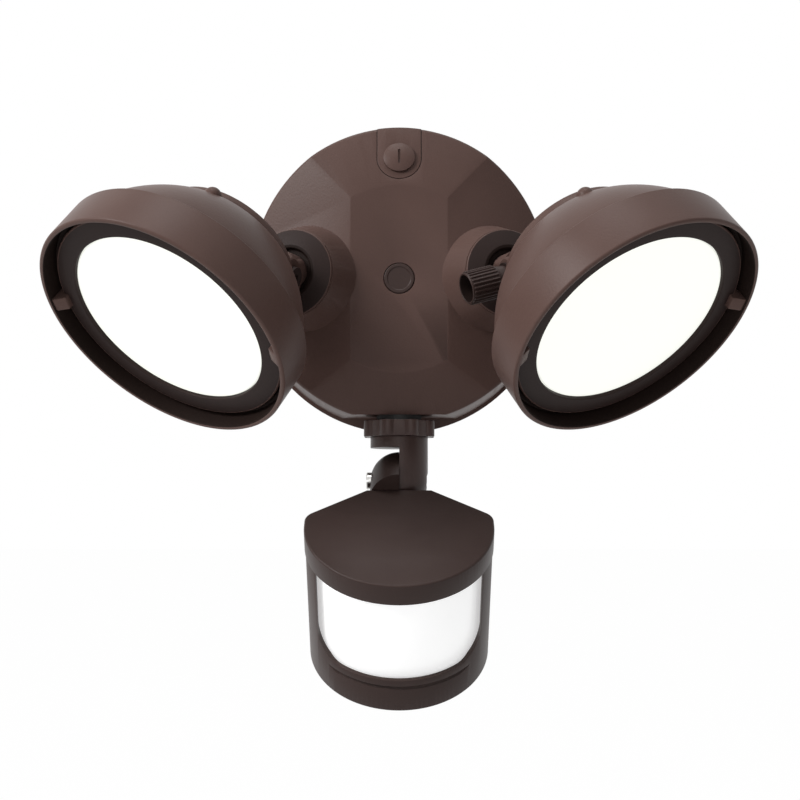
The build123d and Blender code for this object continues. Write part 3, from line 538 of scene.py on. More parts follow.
def dress_node(name: str, finish: str | None = None) -> None:
    """Gives a CAD node its finish.

    Args:
        name: the node's name.
        finish: a coat over its material, or None for the material of its record slot.
    """
    node = frame["nodes"][name]
    for holder in node.material_slots:
        holder.material = Finishes.get(finish or SLOT_OF_NODE[name])


# ---------------------------------------------------------------- mesh helpers
def new_object(name: str, data: bpy.types.ID) -> Object:
    """Adds an object to the scene.

    Args:
        name: the object's name.
        data: its mesh, camera or lamp.

    Returns:
        The object.
    """
    added = bpy.data.objects.new(name, data)
    bpy.context.scene.collection.objects.link(added)
    return added


WELD_GAP = 2e-6              # metres between loose corners that are one
FLAT_ANGLE = 0.5             # degrees under which neighbouring faces are one
COPY_SHARP_ANGLE = 40.0      # degrees past which a softened copy's edge stays sharp
BEVEL_STEPS = 3


@dataclass(frozen=True)
class Corner:
    """A corner of a turned outline, with the radius that rounds it."""

    radius: float
    height: float
    soft: float = 0.0


def rounded_outline(corners: Sequence[Corner], steps: int = 5) -> list[Point]:
    """Rounds the corners of a closed outline with arcs.

    Args:
        corners: the outline's corners in order, in millimetres.
        steps: segments in each arc.

    Returns:
        Points of (radius, height), in metres.
    """
    points: list[Point] = []
    count = len(corners)
    for index, corner in enumerate(corners):
        here = Vector((corner.radius, corner.height))
        before = Vector((corners[index - 1].radius, corners[index - 1].height)) - here
        after_corner = corners[(index + 1) % count]
        after = Vector((after_corner.radius, after_corner.height)) - here
        if corner.soft <= 0 or before.length < 1e-6 or after.length < 1e-6:
            points.append((here.x, here.y))
            continue
        angle = before.angle(after)
        reach = min(corner.soft / math.tan(angle / 2), before.length * 0.49, after.length * 0.49)
        radius = reach * math.tan(angle / 2)
        start = here + before.normalized() * reach
        end = here + after.normalized() * reach
        centre = here + (before.normalized() + after.normalized()).normalized() * (
            radius / math.sin(angle / 2))
        for step in range(steps + 1):
            share = step / steps
            blend = (start - centre).lerp(end - centre, share)
            if blend.length > 1e-9:
                blend = blend.normalized() * radius
            spot = centre + blend
            points.append((max(spot.x, 0.0), spot.y))
    return [(radius * MM, height * MM) for radius, height in points]


def mesh_of(work: bmesh.types.BMesh, name: str) -> Mesh:
    """Turns a bmesh into a mesh and frees it.

    Args:
        work: the bmesh.
        name: the mesh's name.

    Returns:
        The mesh.
    """
    mesh = bpy.data.meshes.new(name)
    work.to_mesh(mesh)
    work.free()
    return mesh


def plain_result(holder: Object) -> Mesh:
    """Takes an object's mesh with its modifiers applied and removes the object.

    Args:
        holder: the object.

    Returns:
        The mesh.
    """
    evaluated = holder.evaluated_get(bpy.context.evaluated_depsgraph_get())
    result = bpy.data.meshes.new_from_object(evaluated)
    bpy.data.objects.remove(holder)
    return result


def turned_mesh(name: str, outline: Sequence[Point], segments: int = 128) -> Mesh:
    """Turns a closed outline about the local z axis.

    Args:
        name: the mesh's name.
        outline: points of (radius, height), in metres.
        segments: steps round the axis.

    Returns:
        The mesh, closed, with its faces outwards.
    """
    work = bmesh.new()
    rings: list[list[bmesh.types.BMVert]] = []
    for radius, height in outline:
        if radius < 1e-7:
            rings.append([work.verts.new((0.0, 0.0, height))])
            continue
        rings.append([
            work.verts.new((radius * math.cos(turn), radius * math.sin(turn), height))
            for turn in (2 * math.pi * step / segments for step in range(segments))])
    for index, ring in enumerate(rings):
        following = rings[(index + 1) % len(rings)]
        if len(ring) == 1 and len(following) == 1:
            continue
        for step in range(segments):
            nxt = (step + 1) % segments
            if len(ring) == 1:
                work.faces.new((ring[0], following[step], following[nxt]))
            elif len(following) == 1:
                work.faces.new((ring[step], following[0], ring[nxt]))
            else:
                work.faces.new((ring[step], following[step], following[nxt], ring[nxt]))
    bmesh.ops.remove_doubles(work, verts=work.verts, dist=1e-7)
    bmesh.ops.recalc_face_normals(work, faces=work.faces)
    return mesh_of(work, name)


def finish_piece(name: str, mesh: Mesh, place: Matrix, slot: str, body: str,
                 replaced: Iterable[str], soft_angle: float = 35.0) -> Object:
    """Puts a mesh in its place as a finished piece.

    Args:
        name: the piece's name.
        mesh: its mesh, in the local frame.
        place: the matrix to the model's frame.
        slot: the record's material slot.
        body: the body it rides on.
        replaced: the CAD nodes that it stands for.
        soft_angle: edges sharper than this, in degrees, stay sharp.

    Returns:
        The piece.
    """
    mesh.transform(place)
    if place.determinant() < 0:
        mesh.flip_normals()
    mesh.materials.clear()
    mesh.materials.append(Finishes.get(slot))
    for face in mesh.polygons:
        face.material_index = 0
    piece = new_object(name, mesh)
    mesh.shade_smooth()
    mesh.set_sharp_from_angle(angle=math.radians(soft_angle))
    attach(piece, body)
    for node in replaced:
        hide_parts(node)
    LOG.info("%s: %d faces, rides on %s", name, len(mesh.polygons), body)
    return piece


def paint_recess_shade(piece: Object, place: Matrix, finish: str,
                  inside: Callable[[float, float], bool], count: int | None = None) -> None:
    """Paints shade onto the faces of a recess: a darker finish on them stands in for the shade that falls there.

    Args:
        piece: a piece that is turned about the local z axis.
        place: the matrix from its local frame to the model's.
        finish: the name of the darker finish that carries the painted shade.
        inside: tells from a radius and a height, in millimetres, whether a spot is in the recess.
        count: how many of the first faces may change, or None for all.
    """
    piece.data.materials.append(Finishes.get(finish))
    dark = len(piece.data.materials) - 1
    back = place.inverted()
    for face in piece.data.polygons[:count]:
        spot = (back @ face.center) / MM
        if inside(math.hypot(spot.x, spot.y), spot.z):
            face.material_index = dark


def merged_copy(node: str) -> Mesh:
    """Copies a CAD node's mesh with its loose triangles joined.

    Args:
        node: the node's name.

    Returns:
        The joined mesh, with flat runs of triangles dissolved.
    """
    work = bmesh.new()
    work.from_mesh(frame["nodes"][node].data)
    bmesh.ops.remove_doubles(work, verts=work.verts, dist=WELD_GAP)
    bmesh.ops.dissolve_limit(work, angle_limit=math.radians(FLAT_ANGLE), verts=work.verts,
                             edges=work.edges)
    return mesh_of(work, node)


def softened_copy(node: str, piece_name: str, body: str, width: float, angle: float = 30.0,
                  coat: str | None = None) -> Object:
    """Replaces a CAD node by its own shape with rounded edges.

    Args:
        node: the node's name.
        piece_name: the new piece's name.
        body: the body it rides on.
        width: the bevel's width, in metres.
        angle: edges sharper than this, in degrees, are rounded.
        coat: a finish over its material, or None for the one of its record slot.

    Returns:
        The piece.
    """
    holder = new_object(piece_name, merged_copy(node))
    bevel = holder.modifiers.new("soft_edges", "BEVEL")
    bevel.width = width
    bevel.segments = BEVEL_STEPS
    bevel.limit_method = "ANGLE"
    bevel.angle_limit = math.radians(angle)
    shaped = plain_result(holder)
    piece = finish_piece(piece_name, shaped, Matrix.Identity(4), SLOT_OF_NODE[node], body, [node],
                         COPY_SHARP_ANGLE)
    if coat:
        piece.data.materials[0] = Finishes.get(coat)
    return piece


# ---------------------------------------------------------------- geometry nodes
@dataclass
class Tree:
    """A geometry node tree under construction, with named inputs."""

    name: str
    tree: NodeTree = field(init=False)
    source: Node = field(init=False)
    sink: Node = field(init=False)

    def __post_init__(self) -> None:
        """Starts the tree with its geometry input and output."""
        self.tree = bpy.data.node_groups.new(self.name, "GeometryNodeTree")
        self.tree.interface.new_socket(name="Geometry", in_out="INPUT", socket_type="NodeSocketGeometry")
        self.tree.interface.new_socket(name="Geometry", in_out="OUTPUT", socket_type="NodeSocketGeometry")
        self.source = self.tree.nodes.new("NodeGroupInput")
        self.sink = self.tree.nodes.new("NodeGroupOutput")

    def value(self, label: str, kind: str = "NodeSocketFloat") -> NodeSocket:
        """Adds a named input.

        Args:
            label: the input's name.
            kind: its socket type.

        Returns:
            Its socket inside the tree.
        """
        self.tree.interface.new_socket(name=label, in_out="INPUT", socket_type=kind)
        return self.source.outputs[label]

    def add(self, kind: str, **links: object) -> Node:
        """Adds a node and fills its inputs.

        Args:
            kind: the node's type.
            links: sockets or values by input name, with _ for a space.

        Returns:
            The node.
        """
        node = self.tree.nodes.new(kind)
        fill_inputs(self.tree, node, {label.replace("_", " "): item for label, item in links.items()})
        return node

    def finish(self, geometry: NodeSocket) -> NodeTree:
        """Ends the tree in Realize Instances and Set Material.

        Args:
            geometry: what the tree has made.

        Returns:
            The finished tree.
        """
        material = self.value("Material", "NodeSocketMaterial")
        real = self.add("GeometryNodeRealizeInstances", Geometry=geometry)
        dressed = self.add("GeometryNodeSetMaterial", Geometry=real.outputs[0], Material=material)
        self.tree.links.new(dressed.outputs[0], self.sink.inputs[0])
        return self.tree


@cache
def ribs_tree() -> NodeTree:
    """Round ribs stood evenly about the z axis and joined to the turned core that comes in.

    Returns:
        The tree, with Count, Circle, Rib Radius, Rib Length and Low inputs.
    """
    made = Tree("ribs_around_core")
    count = made.value("Count", "NodeSocketInt")
    circle = made.value("Circle")
    rib_radius = made.value("Rib Radius")
    rib_length = made.value("Rib Length")
    low = made.value("Low")
    ring = made.add("GeometryNodeMeshCircle", Vertices=count, Radius=circle)
    rib = made.add("GeometryNodeMeshCylinder", Vertices=10, Side_Segments=1, Fill_Segments=1,
                   Radius=rib_radius, Depth=rib_length)
    cap = made.add("GeometryNodeMeshUVSphere", Segments=10, Rings=6, Radius=rib_radius)
    half = math_node(made.tree, "MULTIPLY", rib_length, 0.5)
    lifted = made.add("ShaderNodeCombineXYZ", Z=half)
    cap_top = made.add("GeometryNodeTransform", Geometry=cap.outputs[0], Translation=lifted.outputs[0])
    whole_rib = made.add("GeometryNodeJoinGeometry")
    made.tree.links.new(rib.outputs[0], whole_rib.inputs[0])
    made.tree.links.new(cap_top.outputs[0], whole_rib.inputs[0])
    stood = made.add("GeometryNodeInstanceOnPoints", Points=ring.outputs[0], Instance=whole_rib.outputs[0])
    middle = math_node(made.tree, "ADD", low, half)
    height = made.add("ShaderNodeCombineXYZ", Z=middle)
    raised = made.add("GeometryNodeTransform", Geometry=stood.outputs[0], Translation=height.outputs[0])
    joined = made.add("GeometryNodeJoinGeometry")
    made.tree.links.new(made.source.outputs["Geometry"], joined.inputs[0])
    made.tree.links.new(raised.outputs[0], joined.inputs[0])
    return made.finish(joined.outputs[0])


@cache
def circle_copies_tree() -> NodeTree:
    """Copies of the piece that comes in, set evenly about the z axis and turned with the circle.

    Returns:
        The tree, with Count, Circle, First Angle and Height inputs.
    """
    made = Tree("copies_on_circle")
    count = made.value("Count", "NodeSocketInt")
    circle = made.value("Circle")
    first = made.value("First Angle")
    height = made.value("Height")
    index = made.add("GeometryNodeInputIndex")
    step = math_node(made.tree, "DIVIDE", math.tau, count)
    turn = math_node(made.tree, "MULTIPLY", index.outputs[0], step)
    spin = made.add("ShaderNodeCombineXYZ", Z=turn)
    reach = made.add("ShaderNodeCombineXYZ", X=circle)
    spot = made.add("ShaderNodeVectorRotate", Vector=reach.outputs[0], Angle=turn)
    spot.rotation_type = "Z_AXIS"
    points = made.add("GeometryNodePoints", Count=count, Position=spot.outputs[0])
    copies = made.add("GeometryNodeInstanceOnPoints", Points=points.outputs[0],
                      Instance=made.source.outputs["Geometry"], Rotation=spin.outputs[0])
    lift = made.add("ShaderNodeCombineXYZ", Z=height)
    whole_turn = made.add("ShaderNodeCombineXYZ", Z=first)
    placed = made.add("GeometryNodeTransform", Geometry=copies.outputs[0],
                      Translation=lift.outputs[0], Rotation=whole_turn.outputs[0])
    return made.finish(placed.outputs[0])


def run_tree(mesh: Mesh, tree: NodeTree, slot: str, values: dict[str, float]) -> Mesh:
    """Runs a geometry node tree on a mesh and takes the plain result.

    Args:
        mesh: what goes in.
        tree: the tree.
        slot: the record's material slot for the result.
        values: the tree's inputs by name.

    Returns:
        A plain mesh.
    """
    holder = new_object("tree_holder", mesh)
    modifier = holder.modifiers.new("tree", "NODES")
    modifier.node_group = tree
    sockets = {item.name: item.identifier for item in tree.interface.items_tree
               if item.in_out == "INPUT"}
    for label, value in values.items():
        modifier[sockets[label]] = value
    modifier[sockets["Material"]] = Finishes.get(slot)
    return plain_result(holder)


# ---------------------------------------------------------------- canopy
@dataclass
class Canopy:
    """The round faceted canopy, its bolt cap, the selector's tab and what lies inside."""

    plug_radius: float = 6.0
    front_depth: float = 33.0
    hub_radius: float = 7.9
    seal_spread: float = 1.027
    seal_setback: float = 1.0
    plug_depth: float = 3.4
    body: str = "canopy"
    plain_nodes: tuple[str, ...] = (
        "wall_gasket", "mounting_strap", "canopy_bolt", "driver_module", "driver_screws",
        "selector_switch", "right_stem_gasket", "left_stem_gasket", "sensor_seal")

    def build(self) -> None:
        """Makes the canopy's pieces and dresses the rest."""
        softened_copy("canopy_housing", "canopy_shell", self.body, 0.35 * MM, 34.0)
        softened_copy("selector_bezel", "selector_tab", self.body, 0.15 * MM, coat="bronze")
        self.build_tab_seal()
        self.build_plug()
        for node in self.plain_nodes:
            dress_node(node)

    def build_tab_seal(self) -> None:
        """The thin rubber seal that fills the narrow gap round the selector tab, just under its face."""
        mesh = merged_copy("selector_bezel")
        mesh.transform(PLACES.selector.inverted())
        for vert in mesh.vertices:
            if math.hypot(vert.co.x, vert.co.y) > self.hub_radius * MM:
                vert.co.x *= self.seal_spread
                vert.co.y *= self.seal_spread
                vert.co.z -= self.seal_setback * MM
        finish_piece("selector_seal", mesh, PLACES.selector, "rubber", self.body, [])

    def build_plug(self) -> None:
        """The cap over the central bolt, with a soft rim and a shallow dish."""
        face = self.front_depth
        outline = rounded_outline([
            Corner(0.0, face - self.plug_depth), Corner(self.plug_radius, face - self.plug_depth, 0.2),
            Corner(self.plug_radius, face, 0.45), Corner(self.plug_radius - 1.3, face, 0.3),
            Corner(self.plug_radius - 1.6, face - 0.25, 0.3), Corner(0.0, face - 0.15)])
        mesh = turned_mesh("plug", outline, 96)
        front = axes_frame(Vector((0, 0, 0)), Vector((1, 0, 0)), Vector((0, -1, 0)))
        finish_piece("bolt_plug", mesh, front, "bronze_plastic", self.body, ["plug_cap"])


@dataclass
class Selector:
    """The domed selector knob with its pointer slot."""

    body: str = "selector"

    def build(self) -> None:
        """Makes the knob from its packed form, with rounded edges."""
        softened_copy("selector_dial", "selector_knob", self.body, 0.25 * MM, 28.0, "bronze")


# ---------------------------------------------------------------- lamps
@dataclass
class LampPart:
    """What every sub-assembly of one lamp knows."""

    side: Side

    @property
    def name(self) -> str:
        """The side's name, with which its pieces' names start."""
        return self.side.value


@dataclass
class ThumbKnob(LampPart):
    """The ribbed hollow knob that clamps a lamp's knuckle."""

    radius: float = 6.4
    ribs: int = 26
    rib_radius: float = 0.42
    shoulder: float = 4.2
    grip: float = 12.6
    rib_start: float = 0.9
    rib_end: float = 1.0
    wall: float = 0.9
    eye_inner: float = -7.0
    eye_outer: float = 3.0
    ear_gap: float = 0.15
    ear: float = 6.0
    washer: float = 1.0
    washer_gap: float = 0.1
    bore: float = 2.56
    shoulder_radius: float = 5.0
    shoulder_flare: float = 0.6
    floor: float = 3.0

    def core(self) -> Mesh:
        """The knob without its ribs: shoulder, grip and hollow."""
        root = self.radius - self.rib_radius
        top = self.shoulder + self.grip
        floor = self.shoulder + self.floor
        flare = self.shoulder_radius + self.shoulder_flare
        outline = rounded_outline([
            Corner(self.bore, 0.0), Corner(self.shoulder_radius, 0.0, 0.5),
            Corner(flare, self.shoulder, 0.5),
            Corner(root, self.shoulder + 0.4, 0.6), Corner(root - 0.1, top, 0.5),
            Corner(root - self.wall, top, 0.4), Corner(root - self.wall - 0.1, floor, 0.6),
            Corner(self.bore, floor)])
        return turned_mesh("knob_core", outline, 104)

    def build(self) -> None:
        """Makes the knob and dresses its washer."""
        rib_length = self.grip - self.rib_start - self.rib_end
        mesh = run_tree(self.core(), ribs_tree(), "bronze_plastic", {
            "Count": self.ribs, "Circle": (self.radius - self.rib_radius) * MM,
            "Rib Radius": self.rib_radius * MM, "Rib Length": rib_length * MM,
            "Low": (self.shoulder + self.rib_start) * MM})
        stack = self.washer + self.washer_gap
        if self.side is Side.LEFT:
            height = self.eye_outer + self.ear_gap + self.ear + stack
            seat = Matrix.Translation((0, 0, height * MM))
        else:
            flip = Matrix.Rotation(math.pi, 4, "X")
            seat = Matrix.Translation((0, 0, (self.eye_inner - stack) * MM)) @ flip
        place = self.side.mirror @ PLACES.eye @ seat
        knob = finish_piece(f"{self.name}_thumb_knob", mesh, place, "bronze_plastic",
                            f"{self.name}_clamp", [f"{self.name}_knob"])
        # Painted shade: faces deep in the knob's hollow get the near-black bronze.
        hollow = self.radius - self.rib_radius - self.wall + 0.1
        deep = self.shoulder + self.floor - 0.1
        paint_recess_shade(knob, place, "bronze_painted_deep_shade",
                      lambda radius, height: radius < hollow and height > deep)
        # Painted shade: the washer under the knob gets the darker bronze.
        dress_node(f"{self.name}_knob_washer", "bronze_painted_shade")


@dataclass
class LampArm(LampPart):
    """Arm, collar, nut and pivot bolt of one lamp."""

    bore: float = 7.06
    foot: float = 17.0
    foot_height: float = 12.65
    crest: float = 10.7
    crest_rise: float = 3.2
    dish: float = 8.9
    dish_rise: float = 1.6
    # Radii, in millimetres, inside which the collar's dish gets painted shade; near black inside the second.
    painted_shade_edge: float = 16.3
    shadow_edge: float = 10.2

    @property
    def body(self) -> str:
        """The body that the arm rides on."""
        return f"{self.name}_swivel"

    def build(self) -> None:
        """Makes the arm and its collar and dresses the fixings."""
        softened_copy(f"{self.name}_arm", f"{self.name}_arm_casting", self.body, 0.4 * MM, 32.0)
        self.build_collar()
        dress_node(f"{self.name}_stem_nut")
        # The pivot bolt wears a bronze coat, and its darker tone is painted shade where it sits in the arm's eye.
        dress_node(f"{self.name}_pivot_bolt", "bronze_painted_shade")

    def build_collar(self) -> None:
        """The low dished ring between arm and boss, with painted shade in its dish."""
        low, top = self.foot_height, self.foot_height + self.crest_rise
        floor = self.foot_height + self.dish_rise
        outline = rounded_outline([
            Corner(self.bore, low), Corner(self.foot, low, 0.2), Corner(self.foot, low + 0.9, 0.5),
            Corner(self.crest, top, 0.9), Corner(self.dish + 0.5, top, 0.4),
            Corner(self.dish, floor, 0.5), Corner(self.bore, floor)])
        mesh = turned_mesh("collar", outline, 112)
        place = self.side.mirror @ PLACES.boss
        ring = finish_piece(f"{self.name}_collar_ring", mesh, place, "bronze", self.body,
                            [f"{self.name}_swivel_collar"])
        # Painted shade on the collar's dish: darker bronze towards the middle, near black at the bore.
        paint_recess_shade(ring, place, "bronze_painted_shade", lambda radius, _: radius < self.painted_shade_edge)
        paint_recess_shade(ring, place, "bronze_painted_deep_shade", lambda radius, _: radius < self.shadow_edge)


@dataclass
class LampHead(LampPart):
    """One lamp head: front ring with visor, lens, casting and what is inside."""

    rim: float = 48.5
    wall: float = 1.8
    visor: float = 16.5
    bezel: float = 4.6
    bezel_wall: float = 2.0
    gutter: float = 8.0
    gutter_radius: float = 44.6
    opening: float = 37.1
    spigot: float = 46.55
    lens_gap: float = 0.2
    lens_recess: float = 0.6
    flange: float = 41.0
    flange_wall: float = 2.0
    gasket: float = 1.0
    screws: int = 2
    screw_circle: float = 41.4
    screw_seat: float = 24.0
    screw_first: float = 37.5
    screw_length: float = 13.8
    lug_turns: tuple[float, ...] = (-4.0, 179.0)
    lug_reach: float = 4.8
    lug_width: float = 5.4
    lug_top: float = -0.9
    lug_shoulder: float = 1.0
    lug_soft: float = 0.35
    crown: float = 0.5
    crown_steps: int = 6

    @property
    def body(self) -> str:
        """The body that the head rides on."""
        return f"{self.name}_head"

    @property
    def place(self) -> Matrix:
        """The matrix from the head's own frame to the model's."""
        return self.side.mirror @ PLACES.head

    def build(self) -> None:
        """Makes the head's pieces and dresses the hidden ones."""
        name = self.name
        self.build_ring()
        self.build_lens()
        self.build_screws()
        softened_copy(f"{name}_lamp_housing", f"{name}_rear_casting", self.body, 0.4 * MM, 32.0)
        for part in ("lens_gasket", "reflector", "led_board", "led_chips", "housing_seal"):
            dress_node(f"{name}_{part}")

    def build_ring(self) -> None:
        """The front ring: rolled rim, gutter, bezel and the two rain lugs, with painted shade on the bezel and in
        the gutter.
        """
        inner = self.rim - self.wall
        floor = -self.gutter - self.bezel_wall
        outline = rounded_outline([
            Corner(inner, 0.0, 0.5), Corner(self.rim, 0.0, 0.8), Corner(self.rim, -self.visor, 0.5),
            Corner(self.spigot, -self.visor), Corner(self.spigot, floor, 0.2),
            Corner(self.gutter_radius - 2.0, floor, 0.3),
            Corner(self.gutter_radius - 2.0, -self.bezel - self.bezel_wall, 0.2),
            Corner(self.opening, -self.bezel - self.bezel_wall), Corner(self.opening, -self.bezel, 0.5),
            Corner(self.gutter_radius, -self.bezel - 0.5, 0.7),
            Corner(self.gutter_radius + 0.4, -self.gutter, 0.5),
            Corner(inner, -self.gutter, 0.5)])
        mesh = turned_mesh("front_ring", outline, 192)
        turned_faces = len(mesh.polygons)
        lug = self.lug_mesh()
        work = bmesh.new()
        work.from_mesh(mesh)
        for turn in self.lug_turns:
            copy = lug.copy()
            copy.transform(Matrix.Rotation(math.radians(turn), 4, "Z"))
            work.from_mesh(copy)
            bpy.data.meshes.remove(copy)
        work.to_mesh(mesh)
        work.free()
        bpy.data.meshes.remove(lug)
        ring = finish_piece(f"{self.name}_front_ring", mesh, self.place, "bronze", self.body,
                            [f"{self.name}_lamp_visor"])
        # Painted shade: the bezel gets the darker bronze, and the gutter and the rim's inner wall the near-black
        # one; the bezel's outer rounding between them keeps the plain bronze and shows as a lighter line.
        lip, floor_edge = self.gutter_radius - 0.75, self.gutter_radius + 0.1
        paint_recess_shade(ring, self.place, "bronze_painted_shade",
                      lambda radius, height: radius < lip and height < -0.6, turned_faces)
        paint_recess_shade(ring, self.place, "bronze_painted_deep_shade",
                      lambda radius, height: floor_edge < radius < inner + 0.6 and height < -0.05,
                      turned_faces)

    def lug_mesh(self) -> Mesh:
        """One small sloped lug that stands in the gutter against the rim."""
        reach, width, top = self.lug_reach * MM, self.lug_width * MM, self.lug_top * MM
        outer = (self.rim - self.wall + 0.3) * MM
        low = (-self.gutter - 0.3) * MM
        near = (-self.bezel + 1.6) * MM
        work = bmesh.new()
        outline = ((outer, low), (outer, top), (outer - self.lug_shoulder * MM, top),
                   (outer - reach, near), (outer - reach, low))
        rows = [[work.verts.new((x, y, z)) for x, z in outline] for y in (-width / 2, width / 2)]
        work.faces.new(rows[0])
        work.faces.new(list(reversed(rows[1])))
        for index in range(len(outline)):
            nxt = (index + 1) % len(outline)
            work.faces.new((rows[0][index], rows[1][index], rows[1][nxt], rows[0][nxt]))
        bmesh.ops.bevel(work, geom=list(work.edges), offset=self.lug_soft * MM, segments=BEVEL_STEPS,
                        profile=0.5, affect="EDGES")
        bmesh.ops.recalc_face_normals(work, faces=work.faces)
        return mesh_of(work, "rain_lug")

    def build_lens(self) -> None:
        """The milky lens, slightly crowned, with its flange behind the bezel."""
        top = -self.bezel - self.bezel_wall - self.gasket
        edge = self.opening - self.lens_gap
        face = -self.bezel - self.lens_recess
        corners = [Corner(0.0, face), Corner(0.0, top - self.flange_wall),
                   Corner(self.flange, top - self.flange_wall, 0.2), Corner(self.flange, top, 0.2),
                   Corner(edge, top), Corner(edge, face - self.crown, 0.7)]
        shares = (step / self.crown_steps for step in range(1, self.crown_steps))
        arc = [Corner(edge * (1 - share), face - self.crown * (1 - share) ** 2) for share in shares]
        mesh = turned_mesh("lens", rounded_outline(corners + arc), 160)
        finish_piece(f"{self.name}_lens", mesh, self.place, "frosted_lens", self.body,
                     [f"{self.name}_lamp_lens"])

    def build_screws(self) -> None:
        """The screws that hold the casting to the ring, with slotted pan heads."""
        mesh = run_tree(slotted_screw(self.screw_length), circle_copies_tree(), "bright_steel", {
            "Count": self.screws, "Circle": self.screw_circle * MM,
            "First Angle": math.radians(self.screw_first), "Height": -self.screw_seat * MM})
        finish_piece(f"{self.name}_ring_screws", mesh, self.place, "bright_steel", self.body,
                     [f"{self.name}_head_screws"])


def slotted_screw(length: float) -> Mesh:
    """A screw on the z axis, its slotted pan head below zero and its shank above.

    Args:
        length: the shank's length, in millimetres.

    Returns:
        The mesh.
    """
    head, shank, height = 2.7, 1.48, 1.8
    slot_width, slot_depth = 0.9, 0.8
    outline = rounded_outline([
        Corner(0.0, -height), Corner(head - 0.4, -height, 0.5), Corner(head, -height + 0.6, 0.4),
        Corner(head, 0.0, 0.1), Corner(shank, 0.0), Corner(shank, length, 0.3), Corner(0.0, length)], 3)
    mesh = turned_mesh("screw", outline, 28)
    work = bmesh.new()
    work.from_mesh(mesh)
    slot_half, slot_floor = slot_width / 2 * MM, (-height + slot_depth) * MM
    for sign in (-1, 1):
        bmesh.ops.bisect_plane(
            work, geom=list(work.verts) + list(work.edges) + list(work.faces),
            plane_co=(0, sign * slot_half, 0), plane_no=(0, 1, 0))
    for vert in work.verts:
        if abs(vert.co.y) < slot_half * 0.999 and vert.co.z < -height / 2 * MM:
            vert.co.z = slot_floor
    bmesh.ops.recalc_face_normals(work, faces=work.faces)
    work.to_mesh(mesh)
    work.free()
    return mesh


# ---------------------------------------------------------------- sensor
@dataclass
class SensorMount:
    """Lock nut, arm and fixings between the canopy's chin and the sensor."""

    knuckle_gap: float = 0.045
    disc_radius: float = 11.25
    disc_bore: float = 2.6

    def build(self) -> None:
        """Makes the nut and the arm and dresses the fixings."""
        # The nut and the arm get the lighter bronze, whose lifted tone is painted light.
        softened_copy("sensor_lock_nut", "sensor_hand_nut", "sensor_nut", 0.5 * MM, 28.0,
                      "bronze_satin_painted_light")
        softened_copy("sensor_arm", "sensor_arm_moulding", "sensor_bracket", 0.06 * MM, 32.0,
                      "bronze_satin_painted_light")
        self.build_disc()
        dress_node("sensor_inner_nut")
        dress_node("sensor_pivot_nut")

    def build_disc(self) -> None:
        """The thin rubber friction disc between the two halves of the knuckle; it fills the seam, and its dark
        line is painted shade there.
        """
        half = self.knuckle_gap
        outline = rounded_outline([
            Corner(self.disc_bore, -half), Corner(self.disc_radius, -half),
            Corner(self.disc_radius, half), Corner(self.disc_bore, half)])
        pivot, axis = PLACES.joint("sensor_tilt")
        place = axes_frame(pivot, Vector((0, 0, 1)), axis)
        # The disc is painted shade: a dark line where the knuckle's seam is in shade.
        finish_piece("sensor_friction_disc", turned_mesh("disc", outline, 96), place, "rubber",
                     "sensor_bracket", [])


@dataclass
class SensorHead:
    """The sensor: body, top cover with its skirt, window and what is inside."""

    body: str = "sensor_head"
    inner_nodes: tuple[str, ...] = (
        "sensor_board", "pir_element", "setting_pots", "sensor_cover_screws", "sensor_pivot_screw")

    def build(self) -> None:
        """Makes the mouldings and dresses the rest."""
        softened_copy("sensor_housing", "sensor_body", self.body, 0.08 * MM, 34.0)
        softened_copy("sensor_visor", "sensor_cover", self.body, 0.3 * MM, 34.0)
        softened_copy("sensor_lens", "sensor_window", self.body, 0.1 * MM, 34.0)
        for node in self.inner_nodes:
            dress_node(node)
        for node, body in (("time_dial", "time_setting"), ("range_dial", "range_setting")):
            softened_copy(node, f"{node}_knob", body, 0.2 * MM)


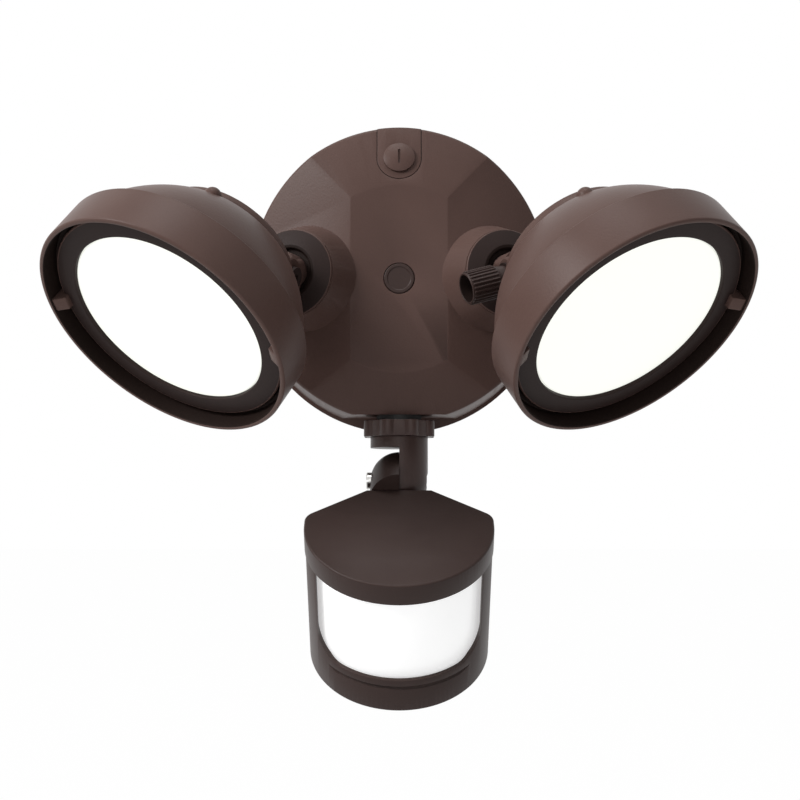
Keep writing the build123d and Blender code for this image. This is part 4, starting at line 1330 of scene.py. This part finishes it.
# ---------------------------------------------------------------- studio
@dataclass
class Studio:
    """Floor, white surroundings, soft lamps and the camera."""

    focal_pixels: float = 1300.0
    image_pixels: float = 800.0
    sensor_width: float = 36.0
    camera_place: tuple[float, float, float] = (0.00033, -0.5353, -0.0903)
    camera_pitch: float = math.atan(110.0 / focal_pixels)
    floor_drop: float = 0.12
    floor_size: float = 6.0
    floor_grey: float = 0.86
    ambient: float = 0.10
    lamp_size: float = 0.7
    lamp_aim: tuple[float, float, float] = (0.0, -0.05, -0.04)
    lamps: tuple[tuple[str, tuple[float, float, float], float], ...] = (
        ("key", (-1.08, -0.80, 0.72), 22.0),
        ("top", (-0.13, -0.41, 1.42), 8.0),
        ("front", (0.0, -1.45, 0.15), 1.3),
        ("edge", (0.62, -0.48, 1.27), 1.5))

    def build(self) -> None:
        """Makes the whole studio."""
        self.build_camera()
        self.build_world()
        self.build_floor()
        self.build_lamps()
        bpy.context.scene.view_settings.view_transform = "Standard"

    def build_camera(self) -> None:
        """The camera at the product photograph's viewing angle."""
        lens = bpy.data.cameras.new("camera")
        lens.sensor_width = self.sensor_width
        lens.lens = self.focal_pixels / self.image_pixels * self.sensor_width
        lens.clip_start = 0.01
        camera = new_object("camera", lens)
        camera.location = self.camera_place
        camera.rotation_euler = (math.pi / 2 + self.camera_pitch, 0.0, 0.0)
        bpy.context.scene.camera = camera

    def white_for_direct_rays(self, tree: NodeTree) -> NodeSocket:
        """A mask of the rays that see the background itself.

        Args:
            tree: the tree that gets it.

        Returns:
            1 for camera, glossy and transmission rays, and 0 for the rest.
        """
        path = tree.nodes.new("ShaderNodeLightPath")
        seen = math_node(tree, "ADD", path.outputs["Is Camera Ray"], path.outputs["Is Glossy Ray"])
        return math_node(tree, "ADD", seen, path.outputs["Is Transmission Ray"], clamp=True)

    def build_world(self) -> None:
        """Even grey light, white where it is seen."""
        world = bpy.data.worlds.new("studio")
        world.use_nodes = True
        tree = world.node_tree
        shade = tree.nodes["Background"]
        seen = self.white_for_direct_rays(tree)
        strength = math_node(tree, "MULTIPLY_ADD", seen, 1.0 - self.ambient, self.ambient)
        fill_inputs(tree, shade, {"Strength": strength, "Color": (1.0, 1.0, 1.0, 1.0)})
        bpy.context.scene.world = world

    def build_floor(self) -> None:
        """A plain pale floor well below the light."""
        lowest = CAD_BOX[0].z - self.floor_drop
        work = bmesh.new()
        bmesh.ops.create_grid(work, x_segments=1, y_segments=1, size=self.floor_size)
        mesh = mesh_of(work, "floor")
        floor = new_object("floor", mesh)
        floor.location = (0.0, 0.0, lowest)
        material, tree, shader = start_material("pale_floor")
        grey = (self.floor_grey, self.floor_grey, self.floor_grey, 1.0)
        fill_inputs(tree, shader, {"Base Color": grey, "Roughness": 0.9})
        glow = tree.nodes.new("ShaderNodeEmission")
        mix = tree.nodes.new("ShaderNodeMixShader")
        seen = self.white_for_direct_rays(tree)
        share = math_node(tree, "MULTIPLY", seen, 0.99)
        fill_inputs(tree, mix, {0: share, 1: shader.outputs[0], 2: glow.outputs[0]})
        tree.links.new(mix.outputs[0], tree.nodes["Material Output"].inputs["Surface"])
        mesh.materials.append(material)

    def build_lamps(self) -> None:
        """A broad key from the upper left, one from above, a weak fill and a faint edge light."""
        for name, place, power in self.lamps:
            lamp = bpy.data.lights.new(name, "AREA")
            lamp.size = self.lamp_size
            lamp.energy = power
            holder = new_object(name, lamp)
            holder.location = place
            aim = Vector(self.lamp_aim) - Vector(place)
            holder.rotation_euler = aim.to_track_quat("-Z", "Y").to_euler()


def main() -> None:
    """Builds every sub-assembly in order, then the studio."""
    logging.basicConfig(level=logging.INFO, format="%(message)s")
    Canopy().build()
    Selector().build()
    for side in Side:
        LampArm(side).build()
        ThumbKnob(side).build()
        LampHead(side).build()
    SensorMount().build()
    SensorHead().build()
    Studio().build()


if __name__ == "__main__":
    main()
